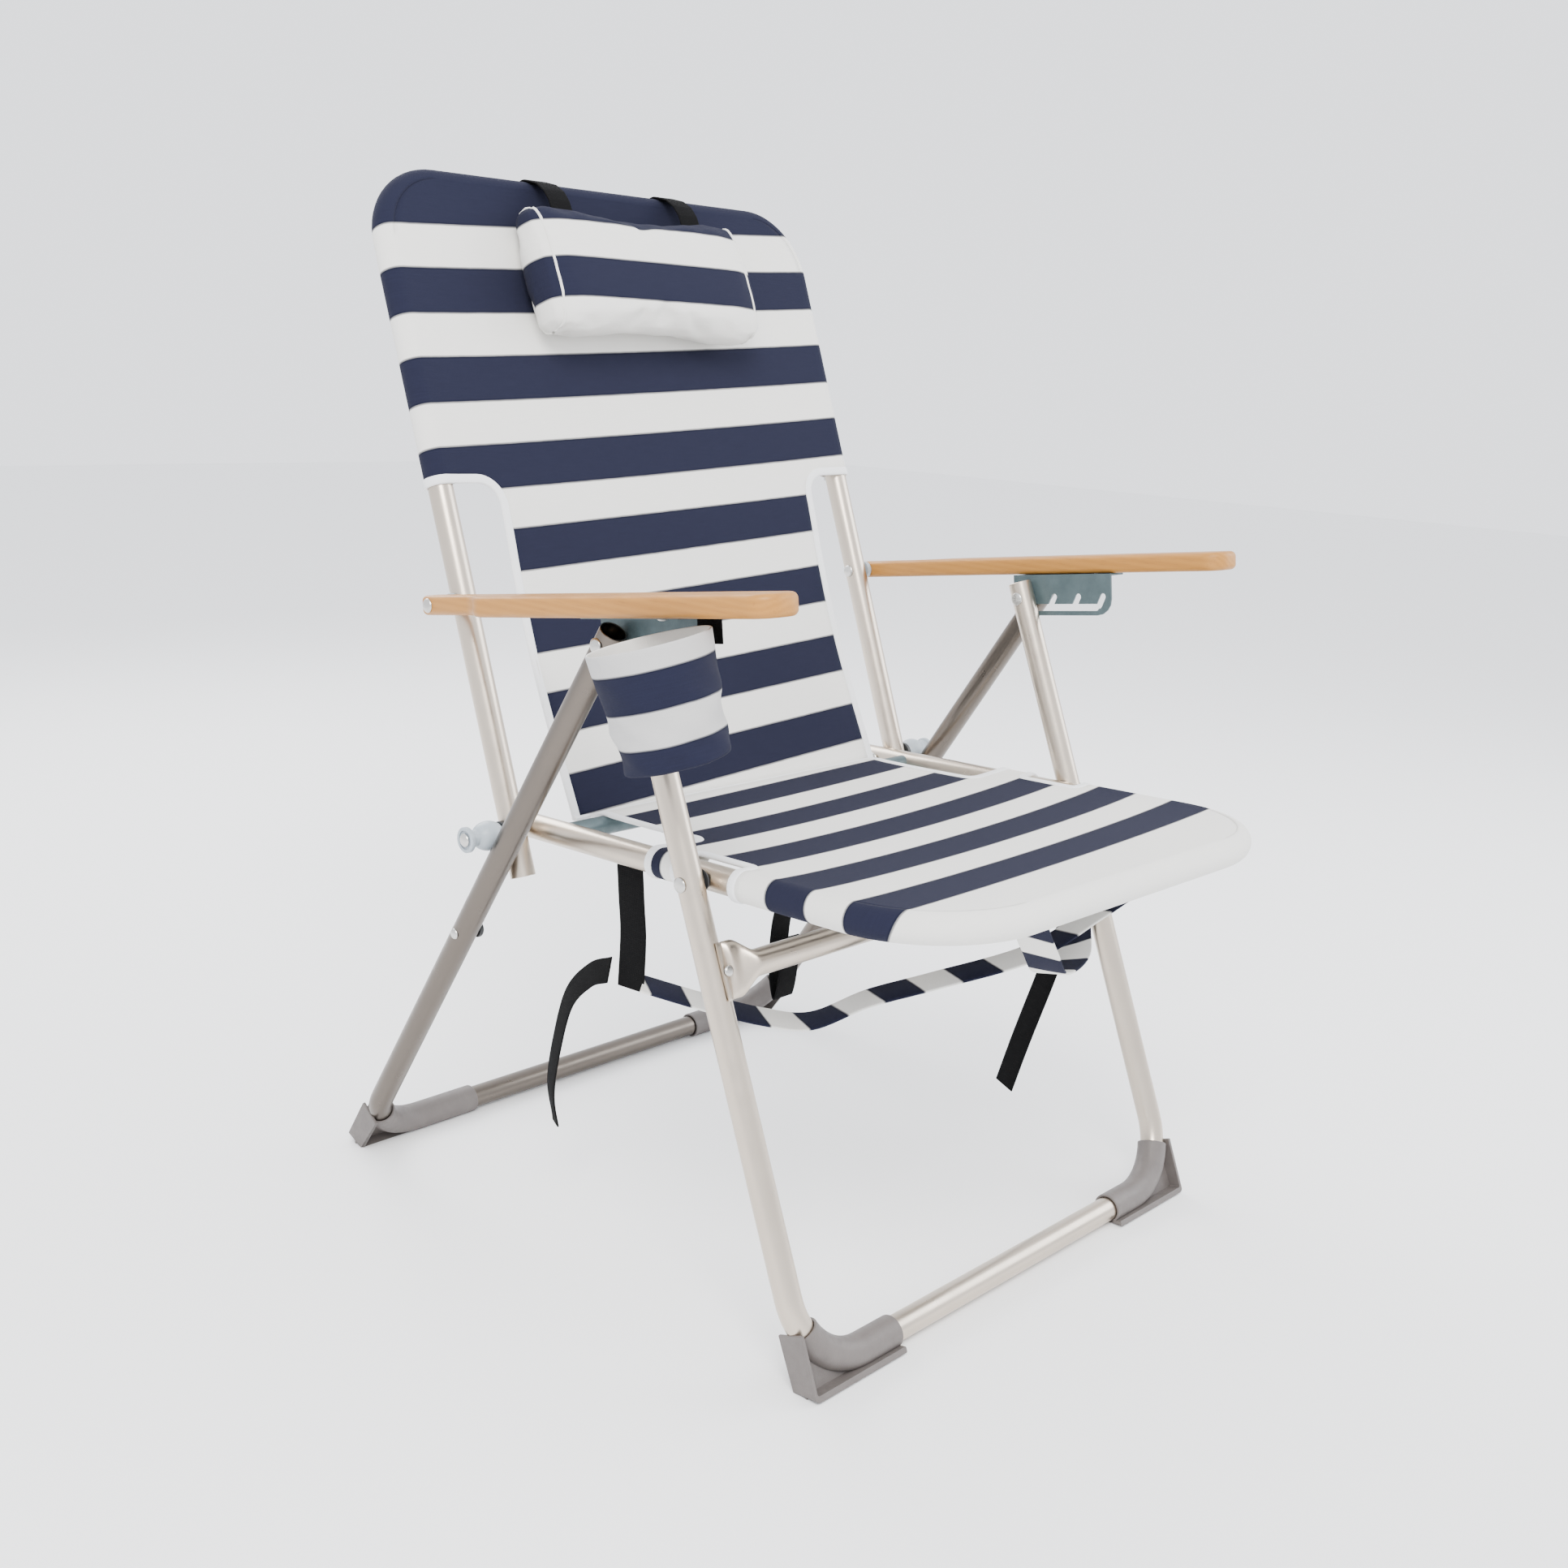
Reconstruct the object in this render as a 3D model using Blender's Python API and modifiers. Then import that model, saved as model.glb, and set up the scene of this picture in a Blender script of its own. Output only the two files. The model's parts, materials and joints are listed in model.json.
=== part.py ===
"""Folding beach chair: two tube leg frames, a tube seat and back with striped cloth, beech arms
with notched brackets, a pillow, a cup holder and carry straps.

Metres, +Z up. X runs across the chair, -Y is its front, and the sitter's right is -X.
The chair is drawn with the front floor bar over Y = 0 and is then moved, whole, so that the
centre of its footprint is over the origin.
"""

import math

import bmesh
import bpy
from mathutils import Matrix, Vector

# ---- Driving dimensions
GAP = 0.0003                 # between pieces that touch
TUBE_R = 0.0111
BAR_Z = 0.0127               # height of both floor bars' centre line
LEG_HALF = 0.2545            # front legs and back posts, from the chair's middle
LAYER_GAP = 0.005            # between the front legs and the rear legs
SEAT_GAP = 0.0016            # between the seat tubes and the front legs
LEG_BEND = 0.062
REAR_BAR_Y = 0.5828
PIN_Y, PIN_Z = 0.2234, 0.556         # B, where the legs cross under the arm
FRONT_LEG_TOP = 0.016                # leg beyond the pin
REAR_LEG_TOP = 0.014
SEAT_PIVOT_Z = 0.3767                # C, on the front leg
BACK_PIVOT = (0.3776, 0.3671)        # D, at the rear of the seat
SEAT_REAR_END = 0.018
SEAT_LENGTH = 0.466                  # D to the front tube
SEAT_CORNER = 0.095
SEAT_CROSS_AT = 0.038
SEAT_CROSS_R = 0.0085
BACK_LEAN = math.radians(20.57)
POST_TAIL = 0.0413
BACK_LENGTH = 0.5845
BACK_CORNER = 0.058
ARM_PIVOT = 0.2036                   # A, up the post from D
CROSS_TUBE_Z = 0.3145
CROSS_TUBE_AHEAD = 0.0135
SADDLE_TALL = 0.046
RIVET_R, RIVET_HEAD_R, RIVET_HEAD = 0.0032, 0.0065, 0.0022
PIN_R = 0.0031
BOLT_R, BOLT_HEAD_R = 0.0037, 0.0062
HOLE_PLAY = 0.0003
ARM_THICK = 0.017
ARM_RISE = math.radians(7.5)
ARM_INNER = 0.2709                   # inner face of the arms
ARM_WIDE, TONGUE_WIDE = 0.044, 0.022
ARM_LENGTH, ARM_BEHIND = 0.445, 0.013
TONGUE_LENGTH, SHOULDER = 0.066, 0.03
ARM_CORNER = 0.018
ARM_EDGE = 0.004
PLATE_THICK = 0.002
PLATE_INNER = 0.2671
PLATE_FRONT, PLATE_REAR = 0.318, 0.2028
PLATE_BOTTOM = -0.049
FLANGE_OUTER = 0.290
SLOT_R = 0.0034
SLOT_Z, NOTCH_Z = -0.0412, -0.0308
NOTCH_FIRST, NOTCH_PITCH, NOTCHES = 0.223, 0.0285, 4
NOTCH_SLANT = 0.0055
FOOT_HALF = 0.0133                   # half the thickness of a foot
FOOT_INNER_X = 0.155
FOOT_RISE = 0.036
FOOT_BEYOND = -0.004
BUMPER_AT = 0.342                    # down the rear leg from the pin
BUMPER_R, BUMPER_THICK = 0.008, 0.0042
SPOOL_FLANGE_R, SPOOL_NECK_R, SPOOL_WIDE = 0.0112, 0.0072, 0.036
CLOTH = 0.0024
SEAT_CLOTH_REAR = 0.052
BACK_CLOTH_FOOT = 0.040
BACK_CLOTH_STEP = 0.311
BACK_CLOTH_NARROW, SEAT_CLOTH_NARROW = 0.197, 0.180
SEAT_NOTCH, SEAT_NOTCH_HALF = (0.196, 0.262), 0.2165
SEAT_REAR_NOTCH = 0.165
PILLOW = (0.262, 0.130, 0.050)
PILLOW_AT = 0.4975
STRAP_X, STRAP_WIDE = 0.081, 0.025
CUP_MOUTH = (-0.325, 0.125, 0.576)
CUP_AXIS = (-0.15, 0.22, 0.96)
CUP_R, CUP_FOOT_R, CUP_DEEP, CUP_WALL = 0.0475, 0.0385, 0.092, 0.002
HANGER_X, HANGER_WIDE, HANGER_DROP = 0.2735, 0.026, 0.021
WEB_WIDE, WEB_THICK = 0.033, 0.002
CARRY_WIDE = 0.030

# ---- Worked out from them
SIDES = (("right", -1), ("left", 1))
REAR_HALF = LEG_HALF + 2 * TUBE_R + LAYER_GAP
SEAT_HALF = LEG_HALF - 2 * TUBE_R - SEAT_GAP
BAR_FRONT = Vector((0, 0, BAR_Z))
BAR_REAR = Vector((0, REAR_BAR_Y, BAR_Z))
B = Vector((0, PIN_Y, PIN_Z))
D = Vector((0, *BACK_PIVOT))
FRONT_DIR = (B - BAR_FRONT).normalized()
REAR_DIR = (B - BAR_REAR).normalized()
C = BAR_FRONT + FRONT_DIR * ((SEAT_PIVOT_Z - BAR_Z) / FRONT_DIR.z)
SEAT_DIR = (C - D).normalized()
BACK_DIR = Vector((0, math.sin(BACK_LEAN), math.cos(BACK_LEAN)))
A = D + BACK_DIR * ARM_PIVOT
ARM_DIR = Vector((0, -math.cos(ARM_RISE), math.sin(ARM_RISE)))
SPOOL_R = (D - BAR_REAR).cross(REAR_DIR).length - TUBE_R - GAP


def frame(origin, along, towards):
    """Axes for a flat piece: local x across the chair, y along it, z to the side of it that faces towards."""
    normal = Vector((0, -along.z, along.y))
    if normal.dot(Vector(towards)) < 0:
        normal = -normal
    rows = Matrix((Vector((1, 0, 0)), along, normal)).transposed().to_4x4()
    return Matrix.Translation(origin) @ rows


FRONT_LEG = frame(BAR_FRONT, FRONT_DIR, (0, -1, 0))
REAR_LEG = frame(BAR_REAR, REAR_DIR, (0, 1, 0))
SEAT = frame(D, SEAT_DIR, (0, 0, 1))
BACK = frame(D, BACK_DIR, (0, -1, 0))
ARM = frame(A, ARM_DIR, (0, 0, 1))

for old in list(bpy.data.objects):
    bpy.data.objects.remove(old)
parts = bpy.data.collections.new("beach_chair")
bpy.context.scene.collection.children.link(parts)


# ---- Materials
def finish(name, colour, roughness, metallic=0.0):
    made = bpy.data.materials.new(name)
    made.use_nodes = True
    shader = made.node_tree.nodes["Principled BSDF"]
    shader.inputs["Base Color"].default_value = (*colour, 1)
    shader.inputs["Roughness"].default_value = roughness
    shader.inputs["Metallic"].default_value = metallic
    return made


ALUMINIUM = finish("aluminium", (0.62, 0.60, 0.58), 0.35, 1.0)
STEEL = finish("steel", (0.45, 0.45, 0.45), 0.3, 1.0)
BRACKET = finish("painted_steel", (0.08, 0.12, 0.13), 0.5)
BEECH = finish("beech", (0.60, 0.38, 0.17), 0.5)
FOOT = finish("foot_plastic", (0.30, 0.27, 0.24), 0.6)
SPOOL = finish("spool_plastic", (0.55, 0.60, 0.66), 0.4)
DARK = finish("dark_plastic", (0.03, 0.03, 0.03), 0.5)
STRIPE = finish("striped_cloth", (0.05, 0.06, 0.15), 0.9)
CREAM = finish("cream_cloth", (0.80, 0.79, 0.75), 0.9)
WEBBING = finish("webbing", (0.02, 0.02, 0.02), 0.8)


# ---- Tools
def pivot(name, place, parent=None):
    """An empty on a joint's axis."""
    made = bpy.data.objects.new(name, None)
    made.location = place - (parent["place"] if parent else Vector())
    made.parent = parent["empty"] if parent else None
    parts.objects.link(made)
    return {"empty": made, "place": place}


def baked(made, place=None):
    """The object as Blender evaluates it, as a plain mesh in world space, closed and facing out."""
    bpy.context.view_layer.update()
    graph = bpy.context.evaluated_depsgraph_get()
    mesh = bpy.data.meshes.new_from_object(made.evaluated_get(graph))
    mesh.transform(place or made.matrix_world)
    name = made.name
    bpy.data.objects.remove(made)
    shape = bmesh.new()
    shape.from_mesh(mesh)
    bmesh.ops.remove_doubles(shape, verts=shape.verts, dist=1e-6)
    bmesh.ops.recalc_face_normals(shape, faces=shape.faces)
    if shape.calc_volume(signed=True) < 0:
        bmesh.ops.reverse_faces(shape, faces=shape.faces)
    shape.to_mesh(mesh)
    shape.free()
    made = bpy.data.objects.new(name, mesh)
    parts.objects.link(made)
    return made


def boolean(made, other, operation="DIFFERENCE"):
    """Cuts the other mesh from this one, or joins it, and removes it."""
    step = made.modifiers.new(operation.lower(), "BOOLEAN")
    step.operation = operation
    step.object = other
    result = baked(made)
    bpy.data.objects.remove(other)
    return result


def put(made, name, on, material, smooth=True):
    """Names a finished piece, gives it its material and hangs it on its pivot."""
    made.name = name
    made.data.name = name
    made.data.transform(Matrix.Translation(-on["place"]))
    made.parent = on["empty"]
    made.data.materials.clear()
    made.data.materials.append(material)
    if smooth:
        made.data.shade_smooth()
        made.data.set_sharp_from_angle(angle=math.radians(35))
    return made


def rounded(corners, steps=7):
    """A path through (x, y, radius) corners, each turned by an arc of its own radius."""
    path = []
    for index, (x, y, radius) in enumerate(corners):
        here = Vector((x, y))
        if radius == 0:
            path.append(here)
            continue
        before = (Vector(corners[index - 1][:2]) - here).normalized()
        after = (Vector(corners[(index + 1) % len(corners)][:2]) - here).normalized()
        half = before.angle(after) / 2
        centre = here + (before + after).normalized() * (radius / math.sin(half))
        start = here + before * (radius / math.tan(half)) - centre
        end = here + after * (radius / math.tan(half)) - centre
        turn = start.angle_signed(end)
        for step in range(steps + 1):
            angle = -turn * step / steps
            path.append(centre + Matrix.Rotation(angle, 2) @ start)
    return path


def u_path(half, length, bend):
    return rounded([(-half, length, 0), (-half, 0, bend), (half, 0, bend), (half, length, 0)])


def tube(path, place, radius=TUBE_R, resolution=4):
    """A round tube along a flat path of the given frame."""
    curve = bpy.data.curves.new("tube", "CURVE")
    curve.dimensions = "3D"
    curve.bevel_depth = radius
    curve.bevel_resolution = resolution
    curve.use_fill_caps = True
    spline = curve.splines.new("POLY")
    spline.points.add(len(path) - 1)
    for point, at in zip(spline.points, path):
        point.co = (*at, *(0,) * (3 - len(at)), 1)
    made = bpy.data.objects.new("tube", curve)
    parts.objects.link(made)
    return baked(made, place)


def plate(outline, thick, place, bevel=0.0):
    """A flat outline with its thickness centred on the frame's plane."""
    curve = bpy.data.curves.new("plate", "CURVE")
    curve.dimensions = "2D"
    curve.fill_mode = "BOTH"
    curve.extrude = thick / 2
    spline = curve.splines.new("POLY")
    spline.points.add(len(outline) - 1)
    for point, at in zip(spline.points, outline):
        point.co = (at[0], at[1], 0, 1)
    spline.use_cyclic_u = True
    made = bpy.data.objects.new("plate", curve)
    parts.objects.link(made)
    made = baked(made, Matrix())
    if bevel:
        edge = made.modifiers.new("edge", "BEVEL")
        edge.width = bevel
        edge.segments = 2
        edge.limit_method = "ANGLE"
        edge.angle_limit = math.radians(50)
    return baked(made, place)


def box(low, high, place=None):
    shape = bmesh.new()
    bmesh.ops.create_cube(shape, size=1)
    mesh = bpy.data.meshes.new("box")
    shape.to_mesh(mesh)
    shape.free()
    low, high = Vector(low), Vector(high)
    size = Matrix.Diagonal((*(high - low), 1))
    mesh.transform((place or Matrix()) @ Matrix.Translation((low + high) / 2) @ size)
    made = bpy.data.objects.new("box", mesh)
    parts.objects.link(made)
    return baked(made)


def turned(profile, place, closed=False, steps=16):
    """A profile of (radius, height) points turned round the frame's z axis."""
    mesh = bpy.data.meshes.new("turned")
    edges = [(n, n + 1) for n in range(len(profile) - 1)]
    if closed:
        edges.append((len(profile) - 1, 0))
    mesh.from_pydata([(r, 0, h) for r, h in profile], edges, [])
    made = bpy.data.objects.new("turned", mesh)
    parts.objects.link(made)
    screw = made.modifiers.new("turn", "SCREW")
    screw.steps = screw.render_steps = steps
    screw.use_merge_vertices = True
    screw.merge_threshold = 1e-5
    return baked(made, place)


def across(at, side):
    """A frame whose z axis runs outwards across the chair through a pivot."""
    turn = Matrix.Rotation(math.radians(90) * side, 4, "Y")
    return Matrix.Translation((0, at.y, at.z)) @ turn


def hole(at, side, radius, start, end):
    return turned([(0, end), (radius, end), (radius, start), (0, start)], across(at, side))


def fastener(at, side, inner, outer, shank, head, head_thick=RIVET_HEAD):
    """A shank between two low heads, one inside at inner and one outside at outer."""
    profile = [(0, outer + head_thick), (head * 0.6, outer + head_thick),
               (head, outer + head_thick * 0.4), (head, outer), (shank, outer), (shank, inner),
               (head, inner), (head, inner - head_thick * 0.4),
               (head * 0.6, inner - head_thick), (0, inner - head_thick)]
    return turned(profile, across(at, side))


def washer(at, side, bore, radius, start, end):
    profile = [(bore, end), (radius, end), (radius, start), (bore, start)]
    return turned(profile, across(at, side), closed=True)


def sheet(stations, place, columns=8, thick=CLOTH):
    """A cloth from (along, out, half width) stations, with its thickness round that surface."""
    shape = bmesh.new()
    bmesh.ops.create_grid(shape, x_segments=columns, y_segments=len(stations) - 1, size=1)
    for vert in shape.verts:
        row = round((vert.co.y + 1) / 2 * (len(stations) - 1))
        along, out, half = stations[row]
        vert.co = (vert.co.x * half, along, out)
    mesh = bpy.data.meshes.new("sheet")
    shape.to_mesh(mesh)
    shape.free()
    made = bpy.data.objects.new("sheet", mesh)
    parts.objects.link(made)
    wall = made.modifiers.new("wall", "SOLIDIFY")
    wall.thickness = thick
    wall.offset = 0
    return baked(made, place)


def ribbon(path, wide, across_dir=(1, 0, 0), thick=WEB_THICK, steps=24):
    """A flat strap of one width along a smooth curve through the path's points."""
    points = [Vector(p) for p in path]
    dense = []
    for n in range(steps + 1):
        place = n / steps * (len(points) - 1)
        k = min(int(place), len(points) - 2)
        t = place - k
        p0, p1 = points[max(k - 1, 0)], points[k]
        p2, p3 = points[k + 1], points[min(k + 2, len(points) - 1)]
        dense.append(0.5 * (2 * p1 + (p2 - p0) * t + (2 * p0 - 5 * p1 + 4 * p2 - p3) * t * t
                            + (3 * p1 - p0 - 3 * p2 + p3) * t ** 3))
    shape = bmesh.new()
    bmesh.ops.create_grid(shape, x_segments=1, y_segments=steps, size=1)
    for vert in shape.verts:
        row = round((vert.co.y + 1) / 2 * steps)
        ahead = dense[min(row + 1, steps)] - dense[max(row - 1, 0)]
        side = Vector(across_dir)
        side = (side - ahead.normalized() * side.dot(ahead.normalized())).normalized()
        vert.co = dense[row] + side * (vert.co.x * wide / 2)
    mesh = bpy.data.meshes.new("ribbon")
    shape.to_mesh(mesh)
    shape.free()
    made = bpy.data.objects.new("ribbon", mesh)
    parts.objects.link(made)
    wall = made.modifiers.new("wall", "SOLIDIFY")
    wall.thickness = thick
    wall.offset = 0
    return baked(made)


# ---- Pivots, one for each moving body
chair = pivot("chair", Vector())
rear_frame = pivot("rear_frame", B, chair)
seat = pivot("seat", C, chair)
bolts = pivot("pivot_bolts", D, seat)
back = pivot("back", D, bolts)
arm_pins = pivot("arm_rivets", A, back)
arms = {name: pivot(f"arm_{name}_hinge", A, arm_pins) for name, _ in SIDES}


# ---- Feet
def foot(half, place, side):
    """A moulded corner cap: square outside, with a channel for the tube and pockets in its faces."""
    outer = half + TUBE_R + FOOT_BEYOND
    inner = half - TUBE_R - 0.0035
    low, step = -TUBE_R - 0.006, TUBE_R + 0.004
    outline = rounded([
        (FOOT_INNER_X, low, 0), (outer, low, 0.004), (outer, FOOT_RISE, 0.004),
        (inner, FOOT_RISE, 0.004), (inner - 0.004, LEG_BEND * 0.62, 0.012),
        (inner - 0.032, step + 0.002, 0.014), (FOOT_INNER_X, step, 0.004)], steps=3)
    mirror = Matrix.Diagonal((side, 1, 1, 1))
    made = plate(outline, 2 * FOOT_HALF, place @ mirror, bevel=0.0012)
    for face in (-1, 1):
        for start, end in ((FOOT_INNER_X + 0.008, FOOT_INNER_X + 0.032),
                           (FOOT_INNER_X + 0.036, FOOT_INNER_X + 0.058)):
            deep = sorted((face * (FOOT_HALF - 0.0011), face * 0.04))
            pocket = box((start, low + 0.009, deep[0]), (end, step - 0.006, deep[1]), place @ mirror)
            made = boolean(made, pocket)
    length = FOOT_RISE + 0.05
    channel = tube(u_path(half, length, LEG_BEND), place, TUBE_R + GAP)
    made = boolean(made, channel)
    ground = box((-0.5, -0.5, -0.1), (0.5, REAR_BAR_Y + 0.5, 0))
    return boolean(made, ground)


for name, side in SIDES:
    put(foot(LEG_HALF, FRONT_LEG, side), f"front_foot_{name}", chair, FOOT)
    put(foot(REAR_HALF, REAR_LEG, side), f"rear_foot_{name}", rear_frame, FOOT)


# ---- Front leg frame
leg_length = (B - BAR_FRONT).length + FRONT_LEG_TOP
legs = tube(u_path(LEG_HALF, leg_length, LEG_BEND), FRONT_LEG)
LEG_IN, LEG_OUT = LEG_HALF - TUBE_R, LEG_HALF + TUBE_R
RIVET_X = LEG_HALF - 0.006
cross_at = BAR_FRONT + FRONT_DIR * ((CROSS_TUBE_Z - BAR_Z - CROSS_TUBE_AHEAD * FRONT_DIR.y) / FRONT_DIR.z)
CROSS = frame(cross_at, FRONT_DIR, (0, -1, 0))
for name, side in SIDES:
    for at in (B, C):
        legs = boolean(legs, hole(at, side, RIVET_R + HOLE_PLAY, 0.2, 0.35))
    bore = turned([(0, 0.03), (0.0028, 0.03), (0.0028, -0.03), (0, -0.03)],
                  CROSS @ Matrix.Translation((RIVET_X * side, 0, 0)))
    legs = boolean(legs, bore)
put(legs, "front_leg_tube", chair, ALUMINIUM)

cross = tube([(-LEG_HALF, 0, CROSS_TUBE_AHEAD), (LEG_HALF, 0, CROSS_TUBE_AHEAD)], CROSS)
for name, side in SIDES:
    reach = sorted((side * (LEG_HALF - 0.027), side * (LEG_HALF + 0.001)))
    saddle = box((reach[0], -SADDLE_TALL / 2, 0.001), (reach[1], SADDLE_TALL / 2, 0.0138), CROSS)
    cross = boolean(cross, saddle, "UNION")
    beyond = sorted((side * (LEG_HALF + 0.0005), side * 0.4))
    cross = boolean(cross, box((beyond[0], -0.05, -0.05), (beyond[1], 0.05, 0.05), CROSS))
    leg = tube([(side * LEG_HALF, -0.1), (side * LEG_HALF, 0.1)], CROSS, TUBE_R + GAP)
    cross = boolean(cross, leg)
    flat = box((reach[0], -0.05, 0.0138), (reach[1], 0.05, 0.05), CROSS)
    cross = boolean(cross, flat)
    bore = turned([(0, 0.03), (0.0028, 0.03), (0.0028, -0.03), (0, -0.03)],
                  CROSS @ Matrix.Translation((RIVET_X * side, 0, 0)))
    cross = boolean(cross, bore)
    rivet = turned([(0, 0.0163), (0.0028, 0.0163), (0.0045, 0.0151), (0.0045, 0.0141),
                    (0.0025, 0.0141), (0.0025, -0.006), (0, -0.006)],
                   CROSS @ Matrix.Translation((RIVET_X * side, 0, 0)))
    put(rivet, f"cross_tube_rivet_{name}", chair, STEEL)
put(cross, "front_cross_tube", chair, ALUMINIUM)


for name, side in SIDES:
    inner = SEAT_HALF - TUBE_R - GAP
    put(fastener(C, side, inner, LEG_OUT + GAP, RIVET_R, RIVET_HEAD_R), f"seat_rivet_{name}",
        chair, STEEL)
    end = PLATE_INNER - 0.0007
    pin = [(0, end), (PIN_R, end), (PIN_R, LEG_IN - GAP), (RIVET_HEAD_R, LEG_IN - GAP),
           (RIVET_HEAD_R, LEG_IN - GAP - RIVET_HEAD), (0, LEG_IN - GAP - RIVET_HEAD)]
    put(turned(pin, across(B, side)), f"front_notch_pin_{name}", chair, STEEL)


# ---- Rear leg frame
REAR_IN, REAR_OUT = REAR_HALF - TUBE_R, REAR_HALF + TUBE_R
rear_length = (B - BAR_REAR).length + REAR_LEG_TOP
bumper_at = B - REAR_DIR * BUMPER_AT
legs = tube(u_path(REAR_HALF, rear_length, LEG_BEND), REAR_LEG)
for name, side in SIDES:
    legs = boolean(legs, hole(B, side, RIVET_R + HOLE_PLAY, 0.2, 0.35))
    legs = boolean(legs, hole(bumper_at, side, 0.0025 + HOLE_PLAY, 0.2, 0.35))
    end = REAR_IN - GAP - 0.0005
    pin = [(0, REAR_OUT + GAP + RIVET_HEAD), (RIVET_HEAD_R, REAR_OUT + GAP + RIVET_HEAD),
           (RIVET_HEAD_R, REAR_OUT + GAP), (PIN_R, REAR_OUT + GAP), (PIN_R, end), (0, end)]
    put(turned(pin, across(B, side)), f"rear_notch_pin_{name}", rear_frame, STEEL)
    face = REAR_IN - GAP
    put(washer(bumper_at, side, 0.0028, BUMPER_R, face - BUMPER_THICK, face), f"leg_bumper_{name}",
        rear_frame, DARK)
    stud = [(0, REAR_OUT + GAP + 0.0018), (0.0045, REAR_OUT + GAP + 0.0018),
            (0.0045, REAR_OUT + GAP), (0.0025, REAR_OUT + GAP), (0.0025, face - BUMPER_THICK + 0.0004),
            (0, face - BUMPER_THICK + 0.0004)]
    put(turned(stud, across(bumper_at, side)), f"bumper_rivet_{name}", rear_frame, STEEL)
put(legs, "rear_leg_tube", rear_frame, ALUMINIUM)


# ---- Seat frame
path = rounded([(-SEAT_HALF, -SEAT_REAR_END, 0), (-SEAT_HALF, SEAT_LENGTH, SEAT_CORNER),
                (SEAT_HALF, SEAT_LENGTH, SEAT_CORNER), (SEAT_HALF, -SEAT_REAR_END, 0)])
rails = tube(path, SEAT)
for name, side in SIDES:
    rails = boolean(rails, hole(C, side, RIVET_R + HOLE_PLAY, 0.2, 0.35))
    rails = boolean(rails, hole(D, side, BOLT_R + HOLE_PLAY, 0.2, 0.35))
    put(washer(C, side, RIVET_R + HOLE_PLAY, 0.009, SEAT_HALF + TUBE_R + GAP, LEG_IN - GAP),
        f"seat_washer_{name}", seat, DARK)
put(rails, "seat_tube", seat, ALUMINIUM)
cross = tube([(-SEAT_HALF, SEAT_CROSS_AT), (SEAT_HALF, SEAT_CROSS_AT)], SEAT, SEAT_CROSS_R)
for name, side in SIDES:
    rail = tube([(side * SEAT_HALF, -0.02), (side * SEAT_HALF, 0.1)], SEAT, TUBE_R + GAP)
    cross = boolean(cross, rail)
put(cross, "seat_cross_tube", seat, ALUMINIUM)


# ---- Back pivots
for name, side in SIDES:
    inner = SEAT_HALF - TUBE_R - GAP
    start = LEG_OUT + LAYER_GAP - 0.0006
    recess = start + SPOOL_WIDE - 0.0015
    put(fastener(D, side, inner, recess + GAP, BOLT_R, BOLT_HEAD_R, 0.0035), f"back_bolt_{name}",
        bolts, STEEL)
    put(washer(D, side, BOLT_R + HOLE_PLAY, 0.0105, LEG_OUT + GAP, start - GAP),
        f"spool_washer_{name}", bolts, DARK)
    ball = []
    for step in range(9):
        angle = math.radians(-50 + 100 * step / 8)
        ball.append((SPOOL_R * math.cos(angle), REAR_HALF + 0.0152 * math.sin(angle)))
    rim = start + SPOOL_WIDE
    bore = BOLT_R + HOLE_PLAY
    profile = [(bore, start), *ball, (SPOOL_NECK_R, rim - 0.0095), (SPOOL_NECK_R, rim - 0.008),
               (SPOOL_FLANGE_R, rim - 0.006), (SPOOL_FLANGE_R, rim), (0.0085, rim),
               (0.0085, recess), (bore, recess)]
    put(turned(profile, across(D, side), closed=True, steps=20), f"rest_spool_{name}", bolts, SPOOL)


# ---- Back frame
path = rounded([(-LEG_HALF, -POST_TAIL, 0), (-LEG_HALF, BACK_LENGTH, BACK_CORNER),
                (LEG_HALF, BACK_LENGTH, BACK_CORNER), (LEG_HALF, -POST_TAIL, 0)])
posts = tube(path, BACK)
for name, side in SIDES:
    posts = boolean(posts, hole(D, side, BOLT_R + HOLE_PLAY, 0.2, 0.35))
    posts = boolean(posts, hole(A, side, RIVET_R + HOLE_PLAY, 0.2, 0.35))
put(posts, "back_tube", back, ALUMINIUM)


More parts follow.
